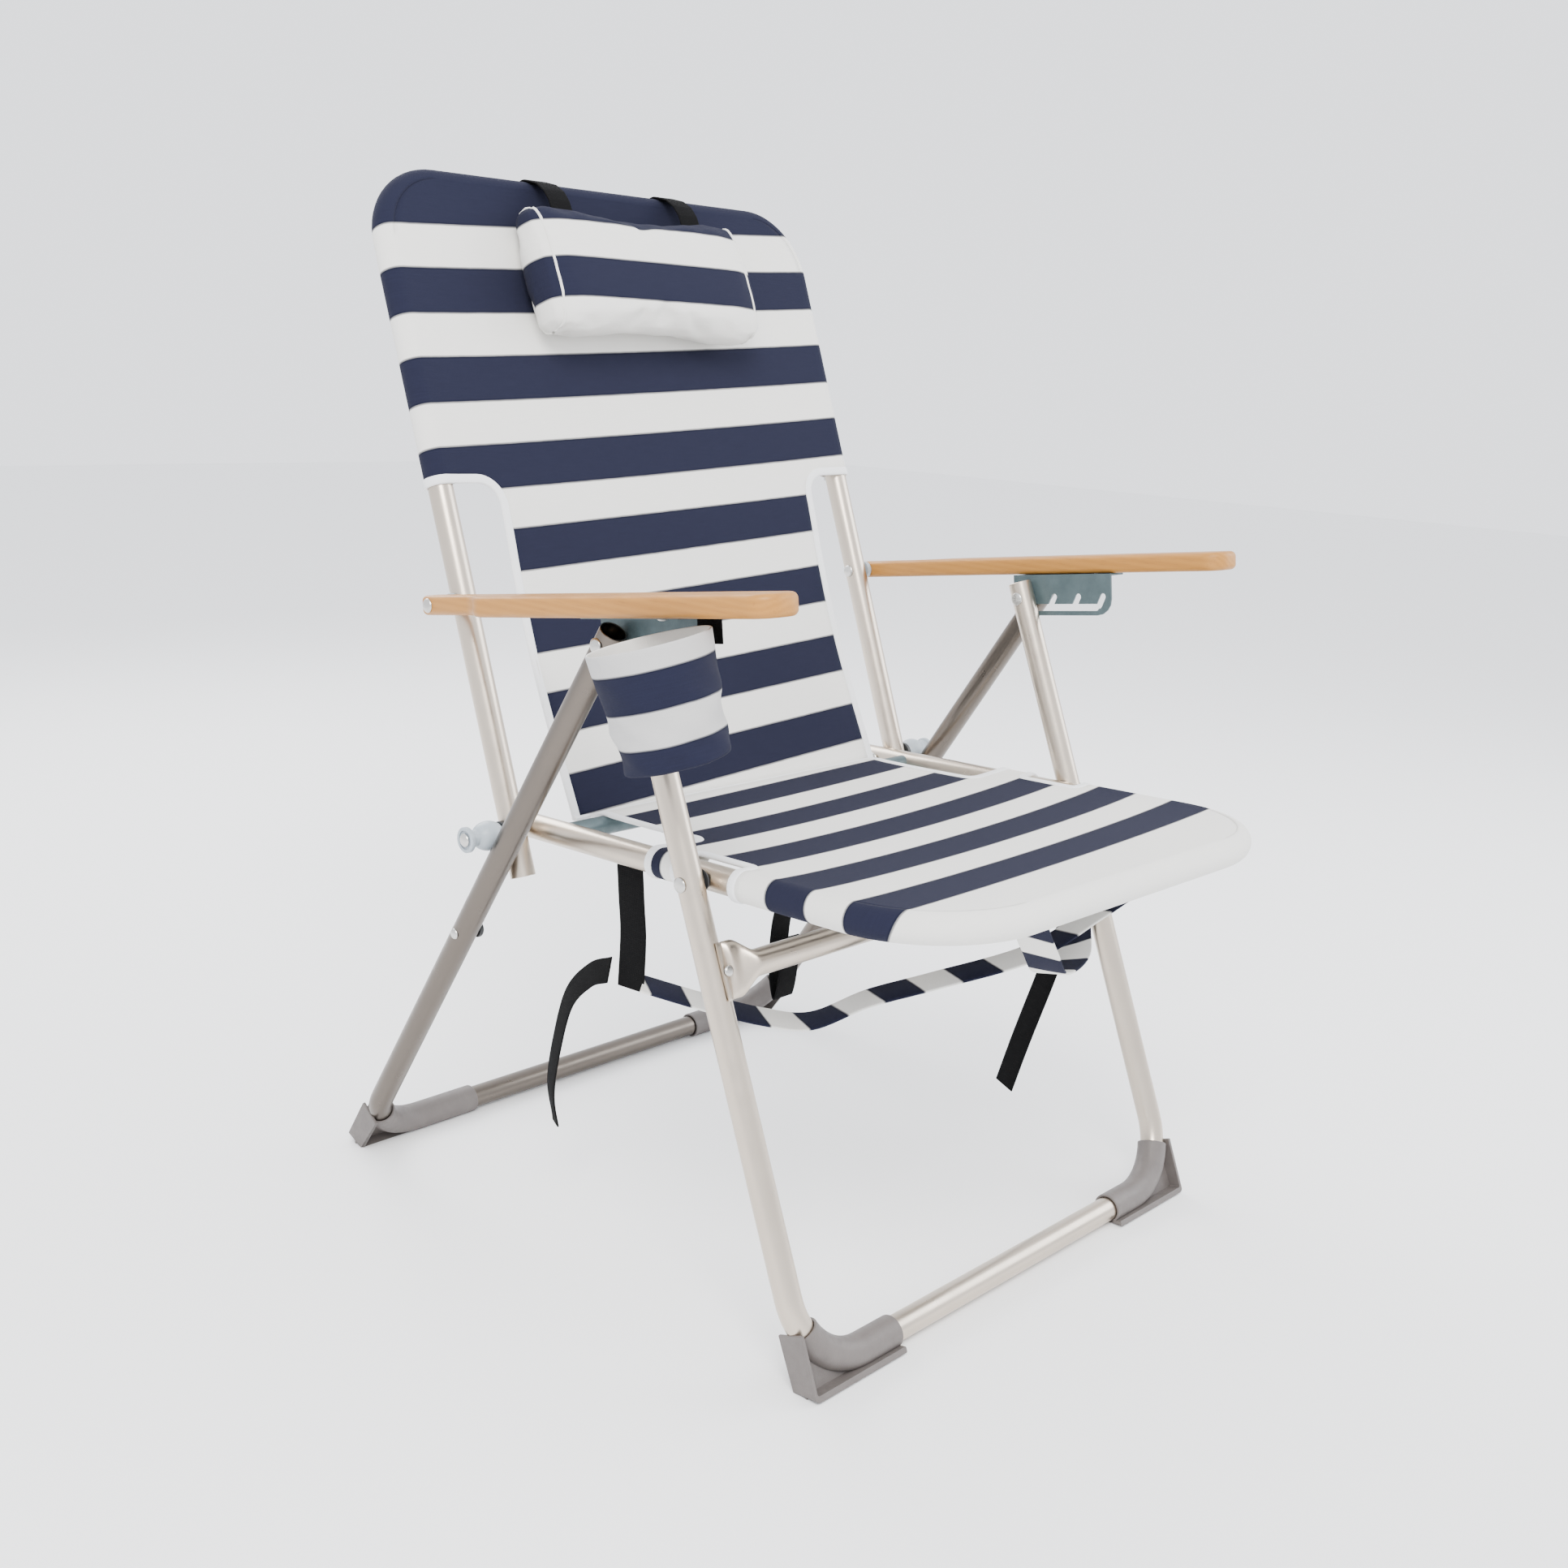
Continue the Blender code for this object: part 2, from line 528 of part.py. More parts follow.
# ---- Arms
for name, side in SIDES:
    put(fastener(A, side, LEG_IN - GAP, ARM_INNER + TONGUE_WIDE + GAP, RIVET_R, RIVET_HEAD_R),
        f"arm_rivet_{name}", arm_pins, STEEL)
    put(washer(A, side, RIVET_R + HOLE_PLAY, 0.009, LEG_OUT + GAP, ARM_INNER - GAP),
        f"arm_spacer_{name}", arm_pins, SPOOL)
    mirror = Matrix.Diagonal((side, 1, 1, 1))
    wide, tongue = ARM_INNER + ARM_WIDE, ARM_INNER + TONGUE_WIDE
    front = ARM_LENGTH - ARM_BEHIND
    outline = rounded([
        (ARM_INNER, -ARM_BEHIND, 0.004), (tongue, -ARM_BEHIND, 0.008),
        (tongue, TONGUE_LENGTH, 0.014), (wide, TONGUE_LENGTH + SHOULDER, 0.014),
        (wide, front, ARM_CORNER), (ARM_INNER, front, ARM_CORNER)], steps=5)
    rest = plate(outline, ARM_THICK, ARM @ mirror, bevel=ARM_EDGE)
    rest = boolean(rest, hole(A, side, RIVET_R + HOLE_PLAY, 0.2, 0.35))
    underside = -ARM_THICK / 2

    # The bracket lies in the arm's side plane, so its outline is (along the arm, up from it).
    side_plane = ARM @ Matrix(((0, 0, 1, 0), (1, 0, 0, 0), (0, 1, 0, 0), (0, 0, 0, 1)))
    layer = side_plane @ Matrix.Translation((0, 0, side * (PLATE_INNER + PLATE_THICK / 2)))
    outline = rounded([(PLATE_REAR, underside - GAP, 0), (PLATE_REAR, PLATE_BOTTOM, 0.006),
                       (PLATE_FRONT, PLATE_BOTTOM, 0.016), (PLATE_FRONT, underside - GAP, 0)], steps=4)
    bracket = plate(outline, PLATE_THICK, layer)
    reach = sorted((side * (PLATE_INNER + PLATE_THICK / 2), side * FLANGE_OUTER))
    flange = box((reach[0], PLATE_REAR + 0.001, underside - GAP - PLATE_THICK),
                 (reach[1], PLATE_FRONT - 0.001, underside - GAP - 0.0002), ARM)
    bracket = boolean(bracket, flange, "UNION")

    def stadium(x0, z0, x1, z1, radius=SLOT_R):
        """A slot cutter with round ends from one point of the side plane to the other."""
        start, end = Vector((x0, z0)), Vector((x1, z1))
        ahead = (end - start).normalized() * radius
        points = []
        for centre, sign in ((start, -1), (end, 1)):
            for step in range(7):
                turn = Matrix.Rotation(math.radians(-90 + 30 * step), 2)
                points.append(centre + sign * (turn @ ahead))
        return plate(points, 0.006, layer)

    last = NOTCH_FIRST + NOTCH_PITCH * (NOTCHES - 1)
    bracket = boolean(bracket, stadium(NOTCH_FIRST - NOTCH_SLANT - 0.001, SLOT_Z,
                                       last - NOTCH_SLANT - 0.0025, SLOT_Z))
    for notch in range(NOTCHES):
        x = NOTCH_FIRST + NOTCH_PITCH * notch
        bracket = boolean(bracket, stadium(x - NOTCH_SLANT * 0.8, SLOT_Z + 0.002, x, NOTCH_Z,
                                           SLOT_R - 0.0001))
    screw_at = Vector(((FLANGE_OUTER - 0.008) * side, (PLATE_REAR + PLATE_FRONT) / 2 + 0.03,
                       underside - GAP))
    screw_place = ARM @ Matrix.Translation(screw_at)
    bore = turned([(0, 0.01), (0.0022, 0.01), (0.0022, -0.01), (0, -0.01)], screw_place)
    bracket = boolean(bracket, bore)
    bore = turned([(0, 0.0092), (0.0022, 0.0092), (0.0022, -0.01), (0, -0.01)], screw_place)
    rest = boolean(rest, bore)
    screw = turned([(0, 0.0085), (0.0018, 0.0085), (0.0018, -PLATE_THICK - GAP),
                    (0.0042, -PLATE_THICK - GAP), (0.0042, -PLATE_THICK - 0.0012),
                    (0.0022, -PLATE_THICK - 0.0022), (0, -PLATE_THICK - 0.0022)], screw_place)
    put(rest, f"arm_{name}", arms[name], BEECH)
    put(bracket, f"notch_bracket_{name}", arms[name], BRACKET, smooth=False)
    put(screw, f"bracket_screw_{name}", arms[name], STEEL)


# ---- Cloths
def seat_stations():
    """The seat cloth dips between the rails at the rear and lies on them further forward."""
    over, wide = TUBE_R + GAP + CLOTH / 2, SEAT_HALF + TUBE_R + 0.0007
    rows = [(SEAT_CLOTH_REAR, 0, SEAT_CLOTH_NARROW), (0.11, 0.006, SEAT_CLOTH_NARROW),
            (SEAT_REAR_NOTCH - 0.004, over, SEAT_CLOTH_NARROW), (SEAT_REAR_NOTCH + 0.004, over, wide),
            (SEAT_NOTCH[0], over, wide), (SEAT_NOTCH[0] + 0.004, over, SEAT_NOTCH_HALF),
            (SEAT_NOTCH[1] - 0.004, over, SEAT_NOTCH_HALF), (SEAT_NOTCH[1], over, wide)]
    centre = SEAT_LENGTH - SEAT_CORNER
    bend = wide - SEAT_HALF + SEAT_CORNER
    for step in range(8):
        angle = math.radians(84 * step / 7)
        rows.append((centre + bend * math.sin(angle), over,
                     SEAT_HALF - SEAT_CORNER + bend * math.cos(angle)))
    return rows


def back_stations():
    """The back cloth hangs between the posts low down and lies over them above the step."""
    over, wide = TUBE_R + GAP + CLOTH / 2, LEG_HALF + TUBE_R + 0.0010
    rows = [(BACK_CLOTH_FOOT, -0.004, BACK_CLOTH_NARROW), (0.15, 0.002, BACK_CLOTH_NARROW),
            (BACK_CLOTH_STEP - 0.004, over, BACK_CLOTH_NARROW), (BACK_CLOTH_STEP + 0.004, over, wide)]
    centre = BACK_LENGTH - BACK_CORNER
    bend = wide - LEG_HALF + BACK_CORNER
    for step in range(8):
        angle = math.radians(55 * step / 7)
        rows.append((centre + bend * math.sin(angle), over,
                     LEG_HALF - BACK_CORNER + bend * math.cos(angle)))
    return rows


put(sheet(seat_stations(), SEAT), "seat_cloth", seat, STRIPE)
put(sheet(back_stations(), BACK), "back_cloth", back, STRIPE)

cloth_face = TUBE_R + GAP + CLOTH
wide, tall, deep = PILLOW
pillow = box((-wide / 2, PILLOW_AT - tall / 2, cloth_face + GAP),
             (wide / 2, PILLOW_AT + tall / 2, cloth_face + GAP + deep), BACK)
soft = pillow.modifiers.new("edge", "BEVEL")
soft.width = deep * 0.42
soft.segments = 4
put(baked(pillow), "pillow", back, CREAM)
for name, side in SIDES:
    top = BACK_LENGTH
    over = TUBE_R + CLOTH + 0.0025
    out = cloth_face + deep * 0.55
    path = [(side * STRAP_X, PILLOW_AT + tall / 2 + 0.003, out), (side * STRAP_X, top + 0.006, out * 0.62)]
    for step in range(5):
        angle = math.radians(60 + 30 * step)
        path.append((side * STRAP_X, top + over * math.sin(angle), over * math.cos(angle)))
    path += [(side * STRAP_X, top - 0.03, -over), (side * STRAP_X, top - 0.12, -over + 0.001)]
    put(ribbon([BACK @ Vector(p) for p in path], STRAP_WIDE), f"pillow_strap_{name}", back, WEBBING)


# ---- Cup holder
axis = Vector(CUP_AXIS).normalized()
lean = axis.to_track_quat("Z", "Y").to_matrix().to_4x4()
cup_place = Matrix.Translation(CUP_MOUTH) @ lean
inner, foot_inner = CUP_R - CUP_WALL, CUP_FOOT_R - CUP_WALL
profile = [(0, -CUP_DEEP), (CUP_FOOT_R * 0.8, -CUP_DEEP), (CUP_FOOT_R, -CUP_DEEP + 0.008), (CUP_R, 0),
           (inner, 0), (foot_inner, -CUP_DEEP + 0.009), (foot_inner * 0.8, -CUP_DEEP + CUP_WALL),
           (0, -CUP_DEEP + CUP_WALL)]
put(turned(profile, cup_place, steps=24), "cup_holder", arms["right"], STRIPE)
tab_rear = PLATE_FRONT + 0.003
tab = box((-HANGER_X - CUP_WALL, tab_rear, -ARM_THICK / 2 - HANGER_DROP),
          (-HANGER_X, tab_rear + HANGER_WIDE, -ARM_THICK / 2 - GAP), ARM)
put(tab, "cup_hanger", arms["right"], WEBBING)


# ---- Carry straps, on the seat's underside
strap = ribbon([(-0.222, 0.240, 0.258), (-0.185, 0.200, 0.244), (-0.150, 0.165, 0.233),
                (-0.119, 0.138, 0.230), (-0.085, 0.105, 0.252), (-0.045, 0.066, 0.270),
                (0.010, 0.010, 0.298), (0.050, -0.025, 0.335), (0.085, -0.050, 0.366)],
               CARRY_WIDE, (0.5, 0.55, 0.1))
put(strap, "carry_strap_right", seat, STRIPE)
strap = ribbon([(0.222, 0.085, 0.276), (0.190, 0.062, 0.296), (0.150, 0.040, 0.304),
                (0.105, 0.030, 0.300), (0.060, 0.000, 0.288), (0.000, -0.020, 0.292),
                (-0.045, -0.038, 0.325), (-0.085, -0.050, 0.366)], CARRY_WIDE, (0.3, -0.8, 0.1))
put(strap, "carry_strap_left", seat, STRIPE)
web = ribbon([(-0.2195, 0.262, 0.356), (-0.2195, 0.259, 0.325), (-0.2195, 0.256, 0.295),
              (-0.2225, 0.254, 0.270)], WEB_WIDE, (0, 1, 0))
put(web, "webbing_right", seat, WEBBING)
web = ribbon([(0.2195, 0.152, 0.352), (0.2195, 0.152, 0.325), (0.2195, 0.142, 0.296),
              (0.2230, 0.118, 0.277)], WEB_WIDE, (0, 1, 0))
put(web, "webbing_left", seat, WEBBING)
tail = ribbon([(-0.229, 0.275, 0.262), (-0.229, 0.300, 0.250), (-0.229, 0.329, 0.220),
               (-0.229, 0.346, 0.170), (-0.228, 0.355, 0.125), (-0.226, 0.350, 0.091)],
              CARRY_WIDE * 0.8, (0.35, 0.8, 0.3))
put(tail, "webbing_tail_right", seat, WEBBING)
tail = ribbon([(0.229, 0.108, 0.262), (0.229, 0.128, 0.225), (0.229, 0.146, 0.170),
               (0.229, 0.165, 0.110), (0.229, 0.181, 0.055)], CARRY_WIDE * 0.8, (0.1, 0.9, 0.2))
put(tail, "webbing_tail_left", seat, WEBBING)
loop = ribbon([(-0.020, 0.250, 0.352), (-0.020, 0.262, 0.310), (-0.020, 0.274, 0.260),
               (-0.020, 0.275, 0.215), (-0.020, 0.268, 0.188), (-0.020, 0.262, 0.215),
               (-0.020, 0.262, 0.250)], STRAP_WIDE, (1, 0, 0))
put(loop, "webbing_loop", seat, WEBBING)

# ---- Stand the chair over the origin
bpy.context.view_layer.update()
corners = [made.matrix_world @ Vector(corner) for made in parts.objects if made.type == "MESH"
           for corner in made.bound_box]
for line in (0, 1):
    values = [corner[line] for corner in corners]
    chair["empty"].location[line] = -(min(values) + max(values)) / 2
bpy.context.view_layer.update()
for name, at in (("A", A), ("B", B), ("C", C), ("D", D)):
    print(name, [round(value, 5) for value in at + chair["empty"].location])
print("spool radius", round(SPOOL_R, 5), "moved by", list(chair["empty"].location))
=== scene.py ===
# %% [markdown]
# # A folding beach chair
#
# The chair is two U-shaped leg frames, a U-shaped seat frame and a U-shaped back frame in satin
# aluminium tube, with striped cloth slipped over the tubes, beech arms, a small pillow, a cup
# holder and carry straps. The frame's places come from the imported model, and each visible surface
# here is a function of two parameters, worked out with numpy as whole arrays.

# %% Load the fixed frame
import json
import math

import bmesh
import bpy
import numpy as np
from mathutils import Matrix, Vector

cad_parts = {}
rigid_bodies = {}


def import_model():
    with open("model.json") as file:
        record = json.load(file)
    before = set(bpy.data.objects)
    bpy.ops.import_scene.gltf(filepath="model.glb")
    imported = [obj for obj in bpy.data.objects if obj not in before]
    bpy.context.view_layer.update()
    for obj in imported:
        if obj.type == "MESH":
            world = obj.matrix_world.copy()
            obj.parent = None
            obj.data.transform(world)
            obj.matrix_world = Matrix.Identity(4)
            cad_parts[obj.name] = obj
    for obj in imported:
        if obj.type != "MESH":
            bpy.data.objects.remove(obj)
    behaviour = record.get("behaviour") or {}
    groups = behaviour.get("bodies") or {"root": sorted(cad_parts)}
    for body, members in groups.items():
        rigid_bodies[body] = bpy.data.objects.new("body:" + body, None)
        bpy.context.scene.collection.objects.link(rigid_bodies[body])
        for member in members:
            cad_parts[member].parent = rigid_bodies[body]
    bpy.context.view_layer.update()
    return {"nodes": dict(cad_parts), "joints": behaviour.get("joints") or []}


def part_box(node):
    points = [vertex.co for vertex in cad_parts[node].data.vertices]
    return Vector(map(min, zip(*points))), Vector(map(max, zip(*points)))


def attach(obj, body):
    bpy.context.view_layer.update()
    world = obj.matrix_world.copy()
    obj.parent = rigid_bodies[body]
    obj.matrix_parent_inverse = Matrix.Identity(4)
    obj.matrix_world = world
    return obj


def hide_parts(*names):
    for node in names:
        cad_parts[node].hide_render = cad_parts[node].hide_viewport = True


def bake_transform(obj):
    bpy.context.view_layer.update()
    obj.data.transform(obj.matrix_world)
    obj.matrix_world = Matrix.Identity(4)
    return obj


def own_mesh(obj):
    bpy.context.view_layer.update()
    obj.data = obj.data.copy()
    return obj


for leftover in list(bpy.data.objects):
    bpy.data.objects.remove(leftover)
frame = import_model()

# %% [markdown]
# ## Where things are
# The chair turns about four points in side view: the notch pin B where the legs cross, C where the
# seat hangs on the front legs, D where the back meets the seat, and A where the arms meet the
# back. The joints of the frame give them, and the tubes' boxes give the rest. Lengths that only
# the looks need are named beside them.

# %% Pivots and lines of the frame
joints = {joint["name"]: joint for joint in frame["joints"]}
B, C, D, A = (np.array(joints[name]["pos_m"]) for name in ("rear_legs", "fold", "back_fold", "arm_follow"))
MID = B[0]
TUBE_R = 0.0111


def box(node):
    low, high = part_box(node)
    return np.array(low), np.array(high)


def unit(vector):
    vector = np.asarray(vector, float)
    return vector / np.linalg.norm(vector, axis=-1, keepdims=True)


front_low, front_high = box("front_leg_tube")
rear_low, rear_high = box("rear_leg_tube")
seat_low, seat_high = box("seat_tube")
back_low, back_high = box("back_tube")
LEG_HALF = front_high[0] - MID - TUBE_R
REAR_HALF = rear_high[0] - MID - TUBE_R
SEAT_HALF = seat_high[0] - MID - TUBE_R
bar_front = np.array([MID, front_low[1] + TUBE_R, front_low[2] + TUBE_R])
bar_rear = np.array([MID, rear_high[1] - TUBE_R, rear_low[2] + TUBE_R])
ACROSS = np.array([1.0, 0, 0])
UP = np.array([0, 0, 1.0])


def side_frame(origin, along, towards):
    """Origin, direction and normal of a flat frame: the normal is the one that faces towards."""
    along = unit(along)
    normal = np.array([0, -along[2], along[1]])
    return origin, along, normal if normal @ towards > 0 else -normal


FRONT = side_frame(bar_front, B - bar_front, -ACROSS + [0, -1, 0])
REAR = side_frame(bar_rear, B - bar_rear, [0, 1, 0])
SEAT = side_frame(D, C - D, UP)
BACK = side_frame(D, A - D, [0, -1, 0])
ARM_RISE = math.radians(7.5)
ARM = side_frame(A, [0, -math.cos(ARM_RISE), math.sin(ARM_RISE)], UP)
BACK_LENGTH = (back_high[2] - TUBE_R - D[2]) / BACK[1][2]
SEAT_LENGTH = (D[1] - seat_low[1] - TUBE_R) / -SEAT[1][1]
LEG_BEND, SEAT_CORNER, BACK_CORNER = 0.062, 0.095, 0.058
print("seat", round(SEAT_LENGTH, 4), "back", round(BACK_LENGTH, 4), "rear half", round(REAR_HALF, 4))


def place(plane, x, along, out=0.0):
    """World points from a flat frame: x across the chair, along it, and out along its normal."""
    origin, direction, normal = plane
    x, along, out = np.broadcast_arrays(np.asarray(x, float), along, out)
    return (np.array([MID, *origin[1:]]) + x[..., None] * ACROSS
            + along[..., None] * direction + out[..., None] * normal)


# %% [markdown]
# ## Mesh tools
# A grid of points becomes quads, and a flat section carried along a path becomes a tube, a strap
# or a binding. Every piece goes through one function that merges the points that meet, turns the
# faces outwards and shades it smooth with its sharp edges kept.

# %% Mesh tools
def quads(rows, cols, round_rows=False, round_cols=False, first=0):
    """Faces between neighbouring points of a grid; a round direction joins its last to its first."""
    i, j = np.meshgrid(np.arange(rows - (not round_rows)), np.arange(cols - (not round_cols)),
                       indexing="ij")
    i1, j1 = (i + 1) % rows, (j + 1) % cols
    faces = np.stack([i * cols + j, i * cols + j1, i1 * cols + j1, i1 * cols + j], -1)
    return (faces.reshape(-1, 4) + first).tolist()


def piece(name, points, faces, material, body, stands_for=(), slot=None, uv=None, wall=0.0,
          sharp=40, merge=1e-5, blend=None, extra=()):
    """A mesh object from points and faces, merged, turned outwards, shaded and riding on a body."""
    mesh = bpy.data.meshes.new(name)
    mesh.from_pydata(np.reshape(points, (-1, 3)).tolist(), [], faces)
    if uv is not None:
        corner = np.empty(len(mesh.loops), np.int32)
        mesh.loops.foreach_get("vertex_index", corner)
        layer = mesh.uv_layers.new(name="cloth")
        layer.data.foreach_set("uv", np.reshape(uv, (-1, 2))[corner].astype(np.float32).ravel())
    shape = bmesh.new()
    shape.from_mesh(mesh)
    bmesh.ops.remove_doubles(shape, verts=shape.verts, dist=merge)
    bmesh.ops.delete(shape, geom=[v for v in shape.verts if not v.link_faces], context="VERTS")
    bmesh.ops.recalc_face_normals(shape, faces=shape.faces)
    if not wall and shape.calc_volume(signed=True) < 0:
        bmesh.ops.reverse_faces(shape, faces=shape.faces)
    shape.to_mesh(mesh)
    shape.free()
    made = bpy.data.objects.new(name, mesh)
    bpy.context.scene.collection.objects.link(made)
    made.data.materials.append(material)
    if wall:
        solid = made.modifiers.new("wall", "SOLIDIFY")
        solid.thickness = wall
        solid.offset = 0
    mesh.shade_smooth()
    mesh.set_sharp_from_angle(angle=math.radians(sharp))
    for node in stands_for:
        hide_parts(node)
    if blend:
        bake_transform(made)
    else:
        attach(made, body)
    print(name, len(mesh.vertices), "points")
    return made


def carried(path, section, side, closed=True, scale=None):
    """A flat section carried along a path. Each ring is path + a*side + b*(tangent x side), where
    (a, b) are the section's points, and scale shrinks or grows each ring."""
    path, section = np.asarray(path, float), np.asarray(section, float)
    ahead = unit(np.gradient(path, axis=0))
    side = np.broadcast_to(side, path.shape)
    side = unit(side - (side * ahead).sum(-1, keepdims=True) * ahead)
    other = np.cross(ahead, side)
    size = np.ones(len(path)) if scale is None else np.asarray(scale)
    ring = section[None] * size[:, None, None]
    points = path[:, None] + ring[..., :1] * side[:, None] + ring[..., 1:] * other[:, None]
    faces = quads(len(path), len(section), round_cols=closed)
    if closed:
        count = len(section)
        faces += [list(range(count)), list(range((len(path) - 1) * count, len(path) * count))]
    return points.reshape(-1, 3), faces


def circle(radius, sides=28):
    angle = np.arange(sides) * 2 * math.pi / sides
    return radius * np.stack([np.cos(angle), np.sin(angle)], -1)


def flat_section(wide, thick, sides=5):
    """A flat strip's section with half-round edges."""
    angle = np.linspace(-math.pi / 2, math.pi / 2, sides)
    edge = np.stack([(wide - thick) / 2 + np.cos(angle) * thick / 2, np.sin(angle) * thick / 2], -1)
    return np.concatenate([edge, -edge])


def u_line(half, low, length, bend, per_bend=20, step=0.02, crown=0.0):
    """Points (x, along) of a U that opens at low and turns two round corners at length."""
    turn = np.linspace(0, math.pi / 2, per_bend)
    straight = np.linspace(low, length - bend, max(3, int((length - bend - low) / step)))[:-1]
    right = np.concatenate([
        np.stack([np.full_like(straight, half), straight], -1),
        np.stack([half - bend + bend * np.cos(turn), length - bend + bend * np.sin(turn)], -1)])
    middle = np.linspace(half - bend, 0, 12)[1:]
    top = np.stack([middle, length + crown * (1 - (middle / (half - bend)) ** 2)], -1)
    right = np.concatenate([right, top])
    return np.concatenate([right[:-1], (right * [-1, 1])[::-1]])


def hollow_tube(path, normal, radius=TUBE_R, sides=28, depth=0.016, wall=0.0013):
    """A round tube along a path with open ends: rings run in from each cut end to a closed floor."""
    path = np.asarray(path, float)
    ahead = unit(np.gradient(path, axis=0))
    t0, t1, inner = ahead[0], ahead[-1], radius - wall
    lip = 0.0005
    centres = np.concatenate([
        [path[0] + t0 * depth, path[0] + t0 * lip, path[0], path[0], path[0] + t0 * lip],
        path[1:-1],
        [path[-1] - t1 * lip, path[-1], path[-1], path[-1] - t1 * lip, path[-1] - t1 * depth]])
    radii = np.concatenate([[inner, inner, inner + lip, radius - lip, radius],
                            np.full(len(path) - 2, radius),
                            [radius, radius - lip, inner + lip, inner, inner]])
    tangent = np.concatenate([np.repeat(t0[None], 5, 0), ahead[1:-1], np.repeat(t1[None], 5, 0)])
    side = unit(np.cross(tangent, normal))
    ring = circle(1, sides)
    points = centres[:, None] + radii[:, None, None] * (
        ring[None, :, :1] * side[:, None] + ring[None, :, 1:] * np.asarray(normal)[None, None])
    faces = quads(len(centres), sides, round_cols=True)
    faces += [list(range(sides)), list(range((len(centres) - 1) * sides, len(centres) * sides))]
    return points.reshape(-1, 3), faces


def turned(profile, centre, outwards, sides=40):
    """A profile of (radius, distance outwards) points turned round a line across the chair, or
    round any direction given. Its first and last points close on the line or on each other."""
    profile = np.asarray(profile, float)
    outwards = unit(outwards)
    first = unit(np.cross(outwards, UP if abs(outwards[2]) < 0.9 else ACROSS))
    second = np.cross(outwards, first)
    ring = circle(1, sides)
    points = (np.asarray(centre) + profile[:, None, 1:] * outwards
              + profile[:, None, :1] * (ring[None, :, :1] * first + ring[None, :, 1:] * second))
    return points.reshape(-1, 3), quads(len(profile), sides, round_cols=True,
                                        round_rows=profile[0, 0] > 1e-6)


def merged(*shapes):
    """Several (points, faces) as one."""
    points, faces, count = [], [], 0
    for new_points, new_faces in shapes:
        points.append(np.reshape(new_points, (-1, 3)))
        faces += [[index + count for index in face] for face in new_faces]
        count += len(points[-1])
    return np.concatenate(points), faces


# %% [markdown]
# ## The camera, the light and the floor
# The view is a three-quarter one from a little above the seat, through a lens of about 39 mm. Its
# place is given from the chair's own middle. The light is soft: a large panel above on the left,
# one on the right to fill, and a pale world that shows in the tubes.

# %% Camera
camera_data = bpy.data.cameras.new("camera")
camera_data.lens = 38.64
camera_data.sensor_width = 36
camera = bpy.data.objects.new("camera", camera_data)
bpy.context.scene.collection.objects.link(camera)
bpy.context.scene.camera = camera
yaw, pitch, roll = (math.radians(a) for a in (46.15, 14.08, 2.58))
ahead = np.array([math.sin(yaw) * math.cos(pitch), math.cos(yaw) * math.cos(pitch), -math.sin(pitch)])
right = np.array([math.cos(yaw), -math.sin(yaw), 0])
above = np.cross(right, ahead)
right, above = (math.cos(roll) * right + math.sin(roll) * above,
                math.cos(roll) * above - math.sin(roll) * right)
turn = np.stack([right, above, -ahead], -1)
stand = np.array([MID, bar_front[1], 0]) + [-1.1109, -0.7697, 0.7741]
camera.matrix_world = Matrix([[*row, at] for row, at in zip(turn.tolist(), stand.tolist())]
                             + [[0, 0, 0, 1]])


# %% Lights, world and floor
def panel(name, at, aim, size, power, colour=(1, 1, 1)):
    data = bpy.data.lights.new(name, "AREA")
    data.shape = "DISK"
    data.size = size
    data.energy = power
    data.color = colour
    made = bpy.data.objects.new(name, data)
    made.location = at
    made.rotation_euler = (Vector(aim) - Vector(at)).to_track_quat("-Z", "Y").to_euler()
    bpy.context.scene.collection.objects.link(made)


middle = (MID, 0.0, 0.45)
panel("key", (-1.6, -1.6, 2.6), middle, 1.6, 125, (1, 0.98, 0.95))
panel("fill", (2.2, -1.2, 1.5), middle, 1.8, 44, (0.94, 0.97, 1))
panel("behind", (0.4, 2.2, 2.0), middle, 1.6, 55)
world = bpy.data.worlds.new("studio")
bpy.context.scene.world = world
world.use_nodes = True
world.node_tree.nodes["Background"].inputs["Color"].default_value = (0.93, 0.95, 1, 1)
world.node_tree.nodes["Background"].inputs["Strength"].default_value = 2.1

floor_mesh = bpy.data.meshes.new("floor")
floor_mesh.from_pydata([(-9, -9, 0), (9, -9, 0), (9, 9, 0), (-9, 9, 0)], [], [(0, 1, 2, 3)])
floor = bpy.data.objects.new("floor", floor_mesh)
bpy.context.scene.collection.objects.link(floor)
print("camera at", [round(v, 3) for v in camera.matrix_world.translation])


# %% [markdown]
# ## Shared effects
# Mottle, weave, stripe and grain are node groups: each puts out only a mask, a colour or a height,
# and the shader stays in the material that uses it. Patterns read Object coordinates, or the cloth's
# own UV map, whose unit is a metre of cloth.

# %% Node helpers
def add(tree, kind, inputs=(), **settings):
    """A node with its settings, and its inputs set to a value or linked from a socket."""
    made = tree.nodes.new(kind)
    for key, value in settings.items():
        setattr(made, key, value)
    for key, value in dict(inputs).items():
        if isinstance(value, bpy.types.NodeSocket):
            tree.links.new(value, made.inputs[key])
        else:
            made.inputs[key].default_value = value
    return made


def group(name, inputs, outputs):
    """An empty node group with named sockets, and its input and output nodes."""
    made = bpy.data.node_groups.new(name, "ShaderNodeTree")
    for socket, kind, value in inputs:
        made.interface.new_socket(socket, in_out="INPUT", socket_type=kind).default_value = value
    for socket, kind in outputs:
        made.interface.new_socket(socket, in_out="OUTPUT", socket_type=kind)
    return made, made.nodes.new("NodeGroupInput"), made.nodes.new("NodeGroupOutput")


